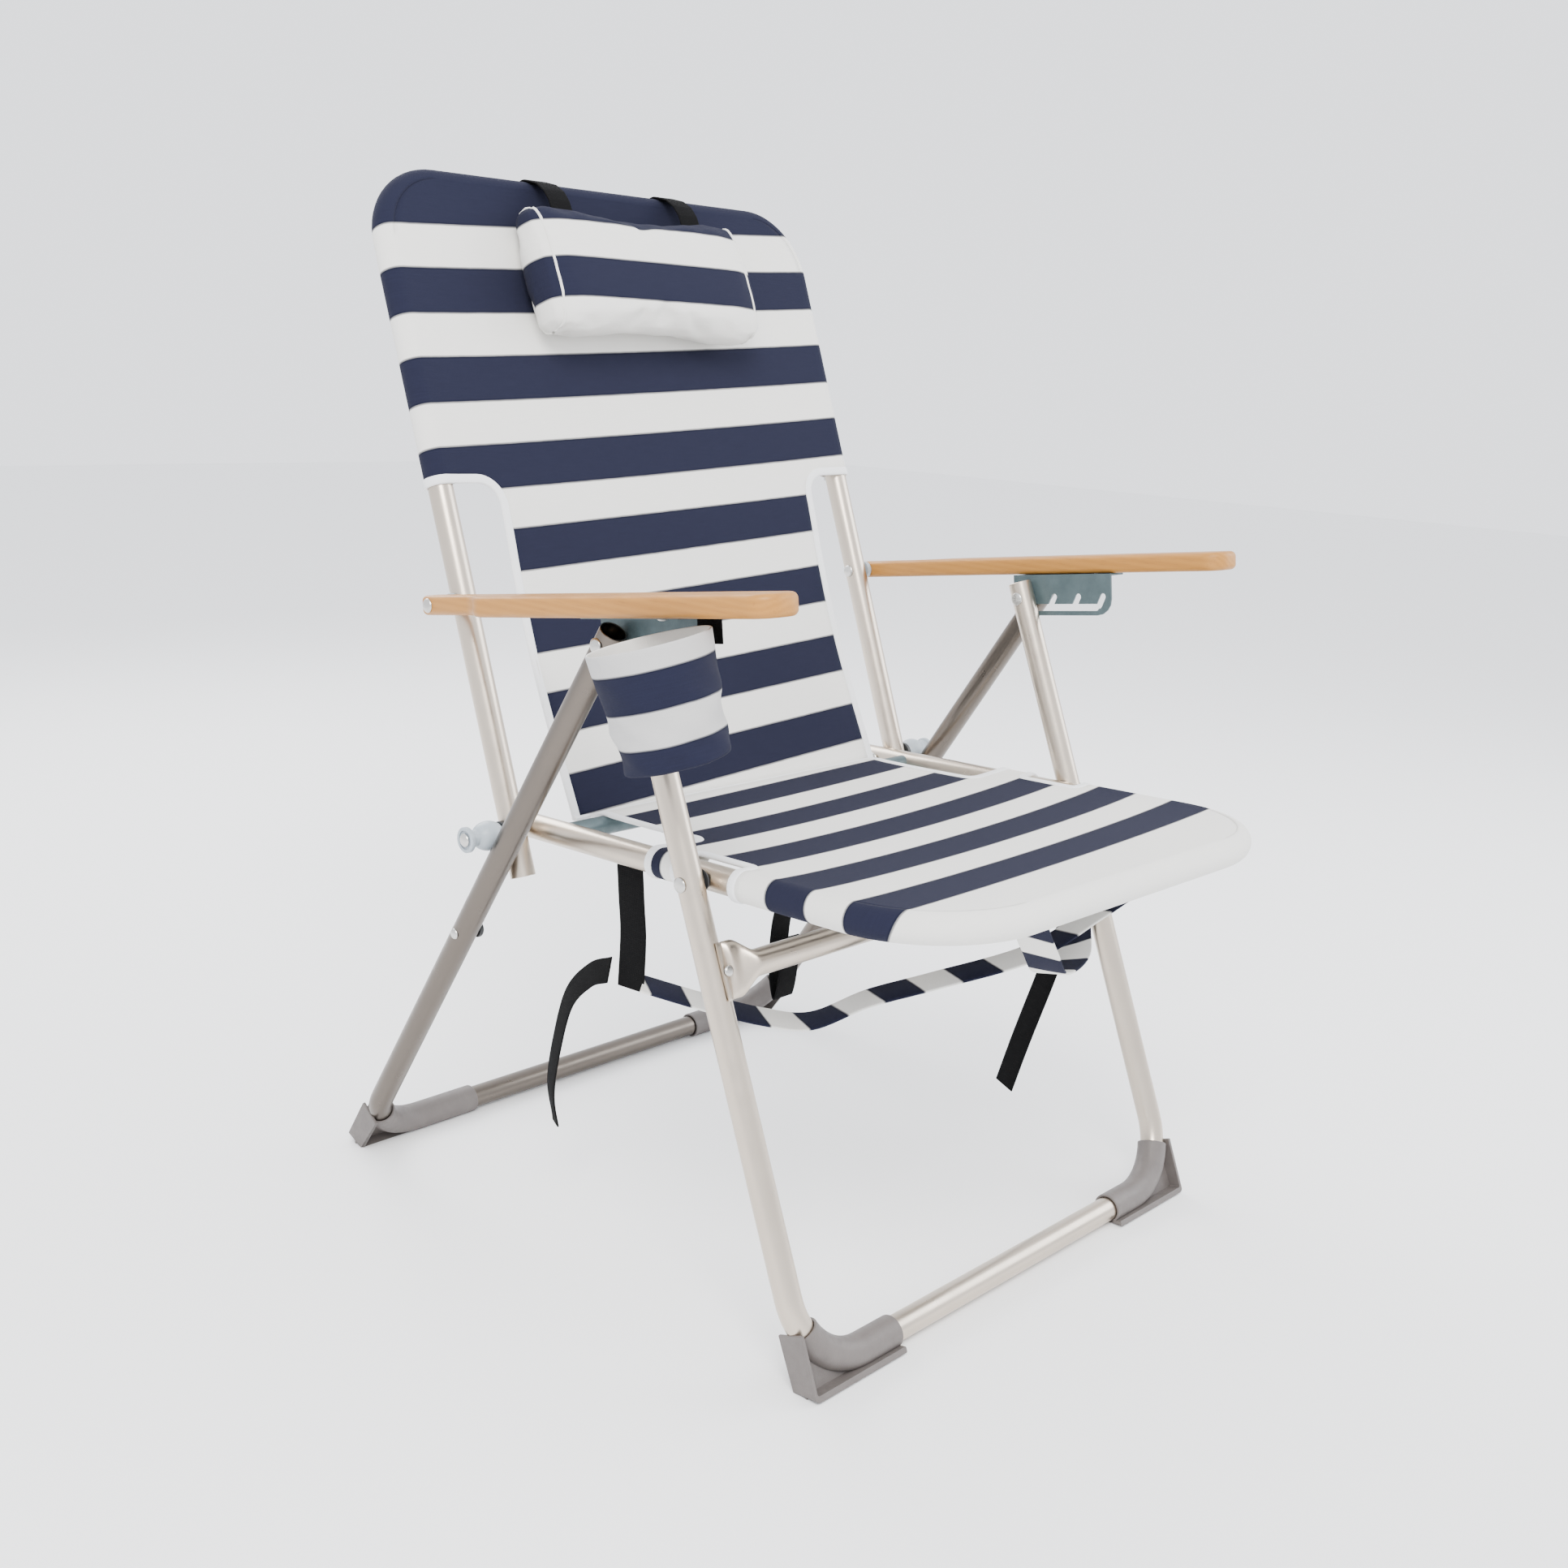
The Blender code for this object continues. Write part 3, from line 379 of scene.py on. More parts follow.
def math_node(tree, operation, first, second=0.0, third=0.0):
    return add(tree, "ShaderNodeMath", {0: first, 1: second, 2: third}, operation=operation).outputs[0]


def mix_colour(tree, share, first, second, blend="MIX"):
    made = add(tree, "ShaderNodeMix", data_type="RGBA", blend_type=blend)
    for key, value in ((0, share), (6, first), (7, second)):
        if isinstance(value, bpy.types.NodeSocket):
            tree.links.new(value, made.inputs[key])
        else:
            made.inputs[key].default_value = value if key == 0 else (*value, 1)
    return made.outputs[2]


FLOAT, VECTOR = "NodeSocketFloat", "NodeSocketVector"

# %% Mottle: slow noise on Object coordinates
mottle, entry, end = group("mottle", [("Scale", FLOAT, 20.0), ("Low", FLOAT, 0.0), ("High", FLOAT, 1.0),
                                      ("Stretch", VECTOR, (1, 1, 1))], [("Value", FLOAT)])
where = add(mottle, "ShaderNodeTexCoord").outputs["Object"]
where = add(mottle, "ShaderNodeVectorMath", {0: where, 1: entry.outputs["Stretch"]},
            operation="MULTIPLY").outputs[0]
noise = add(mottle, "ShaderNodeTexNoise", {"Vector": where, "Scale": entry.outputs["Scale"],
                                           "Detail": 4.0, "Roughness": 0.55})
spread = add(mottle, "ShaderNodeMapRange", {"Value": noise.outputs[0], "From Min": 0.3, "From Max": 0.7,
                                            "To Min": entry.outputs["Low"],
                                            "To Max": entry.outputs["High"]})
mottle.links.new(spread.outputs[0], end.inputs["Value"])

# %% Weave: two crossed rows of threads on the cloth's UV map
weave, entry, end = group("weave", [("Thread", FLOAT, 0.0007)], [("Height", FLOAT), ("Shade", FLOAT)])
flat = add(weave, "ShaderNodeUVMap", uv_map="cloth").outputs[0]
split = add(weave, "ShaderNodeSeparateXYZ", {0: flat})
lines = []
for axis in (0, 1):
    turns = math_node(weave, "DIVIDE", split.outputs[axis], entry.outputs["Thread"])
    lines.append(math_node(weave, "SINE", math_node(weave, "MULTIPLY", turns, 2 * math.pi)))
crossed = math_node(weave, "MULTIPLY", lines[0], lines[1])
ribs = math_node(weave, "ADD", math_node(weave, "MULTIPLY", lines[0], 0.3),
                 math_node(weave, "MULTIPLY", lines[1], 0.3))
height = math_node(weave, "ADD", crossed, ribs)
slub = add(weave, "ShaderNodeTexNoise", {
    "Vector": add(weave, "ShaderNodeVectorMath", {0: flat, 1: (40, 900, 1)}, operation="MULTIPLY").outputs[0],
    "Scale": 1.0, "Detail": 2.0}).outputs[0]
weave.links.new(math_node(weave, "ADD", height, math_node(weave, "MULTIPLY", slub, 1.2)),
                end.inputs["Height"])
weave.links.new(slub, end.inputs["Shade"])

# %% Stripe: bands along the cloth's length with a darker selvedge line at each change
stripe, entry, end = group("stripe", [("Start", FLOAT, 0.0), ("Band", FLOAT, 0.04), ("Slant", FLOAT, 0.0),
                                      ("Low", FLOAT, -9.0), ("High", FLOAT, 9.0)],
                           [("Navy", FLOAT), ("Line", FLOAT)])
flat = add(stripe, "ShaderNodeUVMap", uv_map="cloth").outputs[0]
split = add(stripe, "ShaderNodeSeparateXYZ", {0: flat})
run = math_node(stripe, "MULTIPLY_ADD", split.outputs[0], entry.outputs["Slant"], split.outputs[1])
wobble = add(stripe, "ShaderNodeTexNoise", {"Vector": flat, "Scale": 60.0, "Detail": 2.0}).outputs[0]
run = math_node(stripe, "MULTIPLY_ADD", wobble, 0.0006, run)
run = math_node(stripe, "MINIMUM", math_node(stripe, "MAXIMUM", run, entry.outputs["Low"]),
                entry.outputs["High"])
turns = math_node(stripe, "DIVIDE", math_node(stripe, "SUBTRACT", run, entry.outputs["Start"]),
                  entry.outputs["Band"])
within = math_node(stripe, "FLOORED_MODULO", turns, 2.0)
navy = add(stripe, "ShaderNodeMapRange", {"Value": math_node(stripe, "PINGPONG", math_node(
    stripe, "SUBTRACT", within, 0.5), 1.0), "From Min": 0.49, "From Max": 0.51, "To Min": 1.0, "To Max": 0.0})
edge = math_node(stripe, "ABSOLUTE", math_node(stripe, "SUBTRACT", math_node(
    stripe, "FLOORED_MODULO", math_node(stripe, "ADD", turns, 0.5), 1.0), 0.5))
line = add(stripe, "ShaderNodeMapRange", {"Value": edge, "From Min": 0.02, "From Max": 0.045,
                                          "To Min": 1.0, "To Max": 0.0})
stripe.links.new(navy.outputs[0], end.inputs["Navy"])
stripe.links.new(line.outputs[0], end.inputs["Line"])


# %% Grain: growth rings and short pores running along Y
grain, entry, end = group("grain", [("Scale", FLOAT, 1.0)], [("Rings", FLOAT), ("Pores", FLOAT)])
where = add(grain, "ShaderNodeTexCoord").outputs["Object"]
long = add(grain, "ShaderNodeVectorMath", {0: where, 1: (1, 0.06, 1)}, operation="MULTIPLY").outputs[0]
bent = add(grain, "ShaderNodeTexNoise", {"Vector": long, "Scale": 14.0, "Detail": 3.0}).outputs[1]
long = add(grain, "ShaderNodeVectorMath", {0: bent, 1: (0.03, 0.0, 0.03), 2: long},
           operation="MULTIPLY_ADD").outputs[0]
rings = add(grain, "ShaderNodeTexWave", {"Vector": long, "Scale": 60.0, "Distortion": 3.0, "Detail": 3.0},
            wave_type="RINGS", rings_direction="Y")
drawn = add(grain, "ShaderNodeVectorMath", {0: where, 1: (900, 55, 900)}, operation="MULTIPLY").outputs[0]
pores = add(grain, "ShaderNodeTexNoise", {"Vector": drawn, "Scale": 1.0, "Detail": 2.0}).outputs[0]
flecks = add(grain, "ShaderNodeMapRange", {"Value": pores, "From Min": 0.58, "From Max": 0.70})
grain.links.new(rings.outputs["Fac"], end.inputs["Rings"])
grain.links.new(flecks.outputs[0], end.inputs["Pores"])


# %% [markdown]
# ## The finishes
# Each material sets its constants on its own Principled shader, and only what changes over the
# surface is linked. Satin tube shows a faint fine speckled bump and a little colour from its oxide; the
# cloth is matt with a fine weave; beech has rings and flecks; moulded parts have a soft mottle.

# %% Finish maker
def finish(name, colour, roughness, metallic=0.0, **sockets):
    """A material with its shader's constants set; returns it, its tree and its shader."""
    made = bpy.data.materials.new(name)
    made.use_nodes = True
    tree = made.node_tree
    shader = tree.nodes["Principled BSDF"]
    shader.inputs["Base Color"].default_value = (*colour, 1)
    shader.inputs["Roughness"].default_value = roughness
    shader.inputs["Metallic"].default_value = metallic
    for socket, value in sockets.items():
        shader.inputs[socket.replace("_", " ")].default_value = value
    return made, tree, shader


def use(tree, made, **inputs):
    """Places a node group in a material with its own values."""
    node = tree.nodes.new("ShaderNodeGroup")
    node.node_tree = made
    for key, value in inputs.items():
        node.inputs[key].default_value = value
    return node.outputs


def bump(tree, shader, height, strength, distance):
    node = add(tree, "ShaderNodeBump", {"Height": height, "Strength": strength, "Distance": distance})
    tree.links.new(node.outputs[0], shader.inputs["Normal"])


# %% Metals
def tube_finish(name, first, second):
    made, tree, shader = finish(name, first, 0.3, 1.0)
    tint = use(tree, mottle, Scale=5.0)["Value"]
    tree.links.new(mix_colour(tree, tint, first, second), shader.inputs["Base Color"])
    fine = use(tree, mottle, Scale=60.0, Low=0.27, High=0.35)["Value"]
    tree.links.new(fine, shader.inputs["Roughness"])
    bump(tree, shader, use(tree, mottle, Scale=420.0)["Value"], 0.03, 0.0002)
    return made


ALUMINIUM = tube_finish("satin_aluminium", (0.58, 0.505, 0.42), (0.51, 0.445, 0.37))
# Painted shade: a much darker copy of the satin aluminium for the rear legs, standing in for the shadow and
# dark reflections on them.
SHADED_TUBE = tube_finish("bronzed_aluminium", (0.15, 0.13, 0.112), (0.125, 0.108, 0.093))


def plain_finish(name, colour, roughness, metallic, variation, height):
    made, tree, shader = finish(name, colour, roughness, metallic)
    share = use(tree, mottle, Scale=70.0, Low=0.0, High=1.0)["Value"]
    darker = tuple(c * (1 - variation) for c in colour)
    tree.links.new(mix_colour(tree, share, colour, darker), shader.inputs["Base Color"])
    rough = use(tree, mottle, Scale=150.0, Low=roughness * 0.85, High=min(1, roughness * 1.2))["Value"]
    tree.links.new(rough, shader.inputs["Roughness"])
    bump(tree, shader, use(tree, mottle, Scale=900.0)["Value"], height, 0.0002)
    return made


STEEL = plain_finish("plated_steel", (0.62, 0.61, 0.58), 0.28, 1.0, 0.2, 0.1)
BRACKET = plain_finish("bracket_paint", (0.085, 0.125, 0.135), 0.42, 0.35, 0.25, 0.2)
FOOT = plain_finish("foot_plastic", (0.12, 0.105, 0.098), 0.5, 0.0, 0.15, 0.3)
SPOOL = plain_finish("spool_plastic", (0.36, 0.41, 0.45), 0.38, 0.0, 0.12, 0.15)
DARK = plain_finish("dark_plastic", (0.028, 0.03, 0.032), 0.45, 0.0, 0.3, 0.2)

# %% Beech
BEECH, tree, shader = finish("beech", (0.43, 0.21, 0.06), 0.42, Specular_IOR_Level=0.3)
lines = use(tree, grain)
base = mix_colour(tree, math_node(tree, "MULTIPLY", lines["Rings"], 0.6), (0.40, 0.18, 0.034),
                  (0.33, 0.14, 0.024))
patch = use(tree, mottle, Scale=9.0, Stretch=(1, 0.15, 1))["Value"]
base = mix_colour(tree, math_node(tree, "MULTIPLY", patch, 0.3), base, (0.43, 0.205, 0.045))
base = mix_colour(tree, math_node(tree, "MULTIPLY", lines["Pores"], 0.3), base, (0.22, 0.09, 0.025))
tree.links.new(base, shader.inputs["Base Color"])
tree.links.new(use(tree, mottle, Scale=40.0, Low=0.36, High=0.52)["Value"], shader.inputs["Roughness"])
bump(tree, shader, lines["Pores"], -0.25, 0.0003)

# %% Cloths
NAVY, NAVY_LINE, CREAM_CLOTH = (0.0115, 0.0125, 0.026), (0.005, 0.006, 0.017), (0.78, 0.77, 0.735)


def cloth_finish(name, start=None, band=0.0403, slant=0.0, low=-9.0, high=9.0, thread=0.0009,
                 plain=CREAM_CLOTH, sheen=0.02, strength=0.35):
    """Woven cloth. With a start it is striped in navy and cream from that place on its UV map."""
    made, tree, shader = finish(name, plain, 0.9, Sheen_Weight=sheen, Specular_IOR_Level=0.08)
    threads = use(tree, weave, Thread=thread)
    base = mix_colour(tree, math_node(tree, "MULTIPLY", threads["Shade"], 0.22), plain,
                      tuple(c * 0.72 for c in plain))
    if start is not None:
        bands = use(tree, stripe, Start=start, Band=band, Slant=slant, Low=low, High=high)
        faded = mix_colour(tree, threads["Shade"], NAVY, tuple(c * 1.25 for c in NAVY))
        base = mix_colour(tree, bands["Navy"], base, faded)
        dark = math_node(tree, "MULTIPLY", bands["Line"], 0.75)
        base = mix_colour(tree, dark, base, NAVY_LINE)
    tree.links.new(base, shader.inputs["Base Color"])
    bump(tree, shader, threads["Height"], strength, 0.00025)
    return made


BACK_STRIPE = cloth_finish("back_stripe", start=0.5555, slant=-0.06, high=0.58)
SEAT_STRIPE = cloth_finish("seat_stripe", start=0.0482, band=0.0401, slant=0.045, low=0.03, high=0.44)
PILLOW_STRIPE = cloth_finish("pillow_stripe", start=0.540, band=0.0375, low=0.44, high=0.57)
# Painted shade: the cup holder's cream is darkened to about 0.50 for the shade the cup hangs in; its navy
# stripes are its own pattern.
CUP_STRIPE_PAINTED_SHADE = cloth_finish("cup_stripe", start=0.016, band=0.0275, low=0.004, high=0.09,
                           plain=(0.50, 0.495, 0.49))
CUP_LINING = cloth_finish("cup_lining")
CARRY_STRIPE = cloth_finish("carry_stripe", start=0.004, band=0.034, slant=0.45)
BINDING = cloth_finish("white_binding", plain=(0.86, 0.87, 0.88), thread=0.0012, strength=0.5)
WEBBING = cloth_finish("black_webbing", plain=(0.005, 0.005, 0.0053), thread=0.0016, sheen=0.0,
                       strength=0.9)

FLOOR, tree, shader = finish("pale_floor", (0.92, 0.92, 0.92), 0.75)
bump(tree, shader, use(tree, mottle, Scale=3.0)["Value"], 0.02, 0.001)
floor_mesh.materials.append(FLOOR)

# %% [markdown]
# ## The tubes
# A real frame is drawn aluminium tube bent cold. Each tube here is a circle carried along its U,
# with its wall turned in at the cut ends, because an end that is only capped looks like a rod.

# %% Leg, seat and back tubes
def tube_to(plane, top):
    """How far a leg runs from its floor bar to where its upper end reaches a height."""
    return (top - TUBE_R * abs(plane[2][2]) - plane[0][2]) / plane[1][2]


def u_path(plane, half, low, length, bend, flip=False, crown=0.0):
    line = u_line(half, low, length, bend, crown=crown)
    along = length + low - line[:, 1] if flip else line[:, 1]
    return place(plane, line[:, 0], along)


def leg_path(plane, half, top):
    length = tube_to(plane, top)
    line = u_line(half, 0.0, length, LEG_BEND)
    return place(plane, line[:, 0], length - line[:, 1])


piece("front_legs", *hollow_tube(leg_path(FRONT, LEG_HALF, front_high[2]), FRONT[2]), ALUMINIUM,
      "front_frame", ["front_leg_tube"], "aluminium")
# The rear legs carry painted shade: they use the darkened copy of the aluminium.
piece("rear_legs", *hollow_tube(leg_path(REAR, REAR_HALF, rear_high[2]), REAR[2]), SHADED_TUBE,
      "rear_frame", ["rear_leg_tube"], "aluminium")
seat_tail = seat_high[1] - D[1]
piece("seat_rails", *hollow_tube(u_path(SEAT, SEAT_HALF, -seat_tail, SEAT_LENGTH, SEAT_CORNER), SEAT[2]),
      ALUMINIUM, "seat", ["seat_tube"], "aluminium")
post_tail = (D[2] - back_low[2] - TUBE_R * abs(BACK[2][2])) / BACK[1][2]
piece("back_posts", *hollow_tube(u_path(BACK, LEG_HALF, -post_tail, BACK_LENGTH, BACK_CORNER), BACK[2]),
      ALUMINIUM, "back", ["back_tube"], "aluminium")

# %% [markdown]
# ## The cross tubes
# The front cross tube is pressed flat at its ends into saddles that hug the legs, each held by a
# rivet. Carried along X, its section changes from a circle to a tall, thin shell that follows the
# leg: the two sections are mixed with a smooth step, which is how the metal flows when pressed.

# %% Front cross tube
cross_low, cross_high = box("front_cross_tube")
cross_centre = (cross_low + cross_high) / 2
SADDLE_TALL, AHEAD = 0.046, 0.0135
along_front = ((cross_centre - FRONT[0]) @ FRONT[1])
x = np.concatenate([np.linspace(0, LEG_HALF - 0.034, 14)[:-1], np.linspace(LEG_HALF - 0.034, LEG_HALF, 16)])
x = np.concatenate([-x[::-1], x[1:]])
reach = np.abs(x)
press = np.clip((reach - (LEG_HALF - 0.034)) / 0.016, 0, 1)
press = press * press * (3 - 2 * press)
angle = np.arange(36) * 2 * math.pi / 36
round_s, round_n = TUBE_R * np.sin(angle), AHEAD + TUBE_R * np.cos(angle)
tall = np.sign(np.sin(angle)) * np.abs(np.sin(angle)) ** 0.6 * SADDLE_TALL / 2
inner_face = np.sqrt(np.maximum((TUBE_R + 0.0004) ** 2 - np.clip(LEG_HALF - reach, 0, TUBE_R) ** 2, 0))
front_face = np.maximum(inner_face + 0.0022, 0.0125 * np.ones_like(inner_face) * (reach < LEG_HALF - 0.011)
                        + (reach >= LEG_HALF - 0.011) * (inner_face + 0.0022))
facing = (np.cos(angle) + 1) / 2
pressed_n = inner_face[:, None] * (1 - facing)[None] + front_face[:, None] * facing[None]
flat_n = np.where(reach[:, None] < LEG_HALF - TUBE_R - 0.0006, 0.002 + 0.0118 * facing[None], pressed_n)
section_s = (1 - press)[:, None] * round_s[None] + press[:, None] * tall[None]
section_n = (1 - press)[:, None] * round_n[None] + press[:, None] * flat_n
points = place(FRONT, x[:, None], along_front + section_s, section_n)
faces = quads(len(x), 36, round_cols=True) + [list(range(36)), list(range((len(x) - 1) * 36, len(x) * 36))]
piece("front_cross", points, faces, ALUMINIUM, "front_frame", ["front_cross_tube"], "aluminium", sharp=55)

cross_low, cross_high = box("seat_cross_tube")
SEAT_CROSS_AT, SEAT_CROSS_R = 0.038, 0.0085
reach = SEAT_HALF - TUBE_R * 0.75
path = place(SEAT, np.linspace(-reach, reach, 24), SEAT_CROSS_AT)
piece("rear_seat_cross", *carried(path, circle(SEAT_CROSS_R, 24), SEAT[2]), BRACKET, "seat",
      ["seat_cross_tube"], "aluminium")

# %% [markdown]
# ## Rivets, bolts and spools
# All the fasteners and the two rest spools are turned: a profile of radius against distance
# outwards, revolved about a line across the chair. A spool has a ball that sits on the rear leg,
# a narrow neck and a rim with a recess for its bolt's head.

# %% Turned pieces
SIDES = (("right", -1), ("left", 1))
LEG_OUT = LEG_HALF + TUBE_R
REAR_OUT = REAR_HALF + TUBE_R


def dome(radius, base, height, steps=7):
    """A low domed head from its rim at base to its top at base + height, on the turning line."""
    angle = np.linspace(0, math.pi / 2, steps)
    return np.stack([radius * np.cos(angle), base + height * np.sin(angle)], -1)


def headed(inner, outer, shank, head, high=0.0024):
    """A shank from inner to outer with a domed head beyond each."""
    tail = dome(head, -inner, high)[::-1] * [1, -1]
    return np.concatenate([tail, [[shank, inner], [shank, outer]], dome(head, outer, high)])


def turned_piece(name, at, side, profile, material, body, node, slot="steel", sides=36):
    centre = np.array([MID, at[1], at[2]])
    piece(name, *turned(profile, centre, ACROSS * side, sides), material, body, [node], slot)


for name, side in SIDES:
    inner = SEAT_HALF - TUBE_R
    turned_piece(f"seat_pivot_rivet_{name}", C, side, headed(inner, LEG_OUT, 0.0032, 0.0064), STEEL,
                 "front_frame", f"seat_rivet_{name}")
    low, high = box(f"back_bolt_{name}")
    ends = np.sort(np.abs(np.array([low[0], high[0]]) - MID))
    turned_piece(f"back_pivot_bolt_{name}", D, side, headed(ends[0] + 0.0024, ends[1] - 0.0024, 0.0037,
                 0.0060), STEEL, "pivot_bolts", f"back_bolt_{name}")
    low, high = box(f"arm_rivet_{name}")
    ends = np.sort(np.abs(np.array([low[0], high[0]]) - MID))
    turned_piece(f"arm_pivot_rivet_{name}", A, side, headed(ends[0] + 0.0022, ends[1] - 0.0022, 0.0032,
                 0.0062), STEEL, "arm_rivets", f"arm_rivet_{name}")
    low, high = box(f"front_notch_pin_{name}")
    ends = np.sort(np.abs(np.array([low[0], high[0]]) - MID))
    turned_piece(f"front_pin_{name}", B, side, np.concatenate([
        dome(0.0064, -(ends[0] + 0.0024), 0.0024)[::-1] * [1, -1],
        [[0.0031, ends[0] + 0.0024], [0.0031, ends[1]], [0, ends[1]]]]), STEEL, "front_frame",
        f"front_notch_pin_{name}")
    low, high = box(f"rear_notch_pin_{name}")
    ends = np.sort(np.abs(np.array([low[0], high[0]]) - MID))
    turned_piece(f"rear_pin_{name}", B, side, np.concatenate([
        [[0, ends[0]], [0.0031, ends[0]], [0.0031, ends[1] - 0.0024]],
        dome(0.0064, ends[1] - 0.0024, 0.0024)]), STEEL, "rear_frame", f"rear_notch_pin_{name}")
    low, high = box(f"leg_bumper_{name}")
    ends = np.sort(np.abs(np.array([low[0], high[0]]) - MID))
    at = (low + high) / 2
    turned_piece(f"bumper_{name}", at, side, np.concatenate([
        [[0.0028, ends[1]], [0.0075, ends[1]], [0.008, ends[1] - 0.0006], [0.008, ends[0] + 0.0010],
         [0.0072, ends[0]], [0.0028, ends[0]]]]), DARK, "rear_frame", f"leg_bumper_{name}",
        "dark_plastic")
    turned_piece(f"bumper_stud_{name}", at, side, np.concatenate([
        [[0, ends[0] + 0.0006], [0.0025, ends[0] + 0.0006], [0.0025, REAR_OUT]],
        dome(0.0048, REAR_OUT, 0.0022)]), STEEL, "rear_frame", f"bumper_rivet_{name}")
    for node, material, body, slot in ((f"seat_washer_{name}", DARK, "seat", "dark_plastic"),
                                       (f"spool_washer_{name}", DARK, "pivot_bolts", "dark_plastic"),
                                       (f"arm_spacer_{name}", SPOOL, "arm_rivets", "spool_plastic")):
        low, high = box(node)
        ends = np.sort(np.abs(np.array([low[0], high[0]]) - MID))
        radius, soft = (high[2] - low[2]) / 2, 0.0004
        turned_piece(f"{node}_turned", (low + high) / 2, side, [
            [0.004, ends[1]], [radius - soft, ends[1]], [radius, ends[1] - soft],
            [radius, ends[0] + soft], [radius - soft, ends[0]], [0.004, ends[0]]], material, body, node,
            slot)
    low, high = box(f"rest_spool_{name}")
    start, rim = np.sort(np.abs(np.array([low[0], high[0]]) - MID))
    ball_r = (high[2] - low[2]) / 2
    turn = np.radians(np.linspace(-50, 56, 20))
    ball = np.stack([ball_r * np.cos(turn), REAR_HALF + 0.0152 * np.sin(turn)], -1)
    turn = np.linspace(0, math.pi / 2, 8)
    flare = np.stack([0.0108 - 0.0034 * np.cos(turn), rim - 0.0088 + 0.0046 * np.sin(turn)], -1)
    turned_piece(f"spool_{name}", D, side, np.concatenate([
        [[0.0040, start]], ball, flare, [[0.0112, rim - 0.0036], [0.0112, rim - 0.0006],
        [0.0106, rim], [0.0088, rim], [0.0083, rim - 0.0004], [0.0083, rim - 0.0015],
        [0.0040, rim - 0.0015]]]), SPOOL, "pivot_bolts", f"rest_spool_{name}", "spool_plastic", 48)
    low, high = box(f"cross_tube_rivet_{name}")
    head_centre = place(FRONT, side * (LEG_HALF - 0.006), along_front)
    piece(f"cross_rivet_{name}", *turned(np.concatenate([
        [[0, -0.004], [0.0025, -0.004], [0.0025, 0.0140]], dome(0.0046, 0.0140, 0.0022)]),
        head_centre, FRONT[2]), STEEL, "front_frame", [f"cross_tube_rivet_{name}"], "steel")
    low, high = box(f"bracket_screw_{name}")
    foot = (low + high) / 2
    head = foot - ARM[2] * ((foot - A) @ ARM[2] + 0.0085 + 0.0024)
    piece(f"screw_{name}", *turned(np.concatenate([
        [[0, -0.010], [0.0018, -0.010], [0.0018, 0.0]], dome(0.0042, 0.0, 0.0018)]), head, -ARM[2]),
        STEEL, f"arm_{name}", [f"bracket_screw_{name}"], "steel")
    bracket = frame["nodes"][f"notch_bracket_{name}"]
    bracket.data.materials.clear()
    bracket.data.materials.append(BRACKET)
    weld = bracket.modifiers.new("weld", "WELD")
    weld.merge_threshold = 1e-5
    soften = bracket.modifiers.new("edge", "BEVEL")
    soften.width = 0.0003
    soften.segments = 2
    soften.limit_method = "ANGLE"


# %% [markdown]
# ## The feet
# Each moulded foot grips the tube round its corner with a sleeve. A square rim stands outside the
# bend, and a thin web ties it to the sleeve, so the corner shows an open pocket. The sleeve is a
# ring carried along the tube; rim and web are outlines given a thickness. All points stop at the
# floor, which gives the flat sole.

# %% Outline helper and feet
def fillet(corners, steps=6):
    """A polygon with each (x, y, radius) corner turned into an arc."""
    corners = np.asarray(corners, float)
    out = []
    for before, corner, after in zip(np.roll(corners, 1, 0), corners, np.roll(corners, -1, 0)):
        here, radius = corner[:2], corner[2]
        if radius == 0:
            out.append(here[None])
            continue
        a, b = unit(before[:2] - here), unit(after[:2] - here)
        half = math.acos(np.clip(a @ b, -1, 1)) / 2
        reach = radius / math.tan(half)
        centre = here + unit(a + b) * radius / math.sin(half)
        start, end_ = here + a * reach - centre, here + b * reach - centre
        turn = math.pi - 2 * half
        share = np.linspace(0, 1, steps)[:, None]
        arc = (np.sin((1 - share) * turn) * start + np.sin(share * turn) * end_) / math.sin(turn)
        out.append(centre + arc)
    return np.concatenate(out)


def slab(outline, plane, side, low, high):
    """An outline (x, along) made solid from low to high along the plane's normal."""
    outline = np.asarray(outline)
    count = len(outline)
    points = np.stack([place(plane, side * outline[:, 0], outline[:, 1], out) for out in (low, high)])
    return points.reshape(-1, 3), quads(2, count, round_cols=True) + [
        list(range(count)), list(range(count, 2 * count))]


def softened(made, width, segments=3):
    edge = made.modifiers.new("edge", "BEVEL")
    edge.width, edge.segments, edge.limit_method = width, segments, "ANGLE"
    return made


FOOT_HALF, FOOT_START, FOOT_RISE, FOOT_BEYOND, RIM = 0.0131, 0.155, 0.036, -0.004, 0.0030


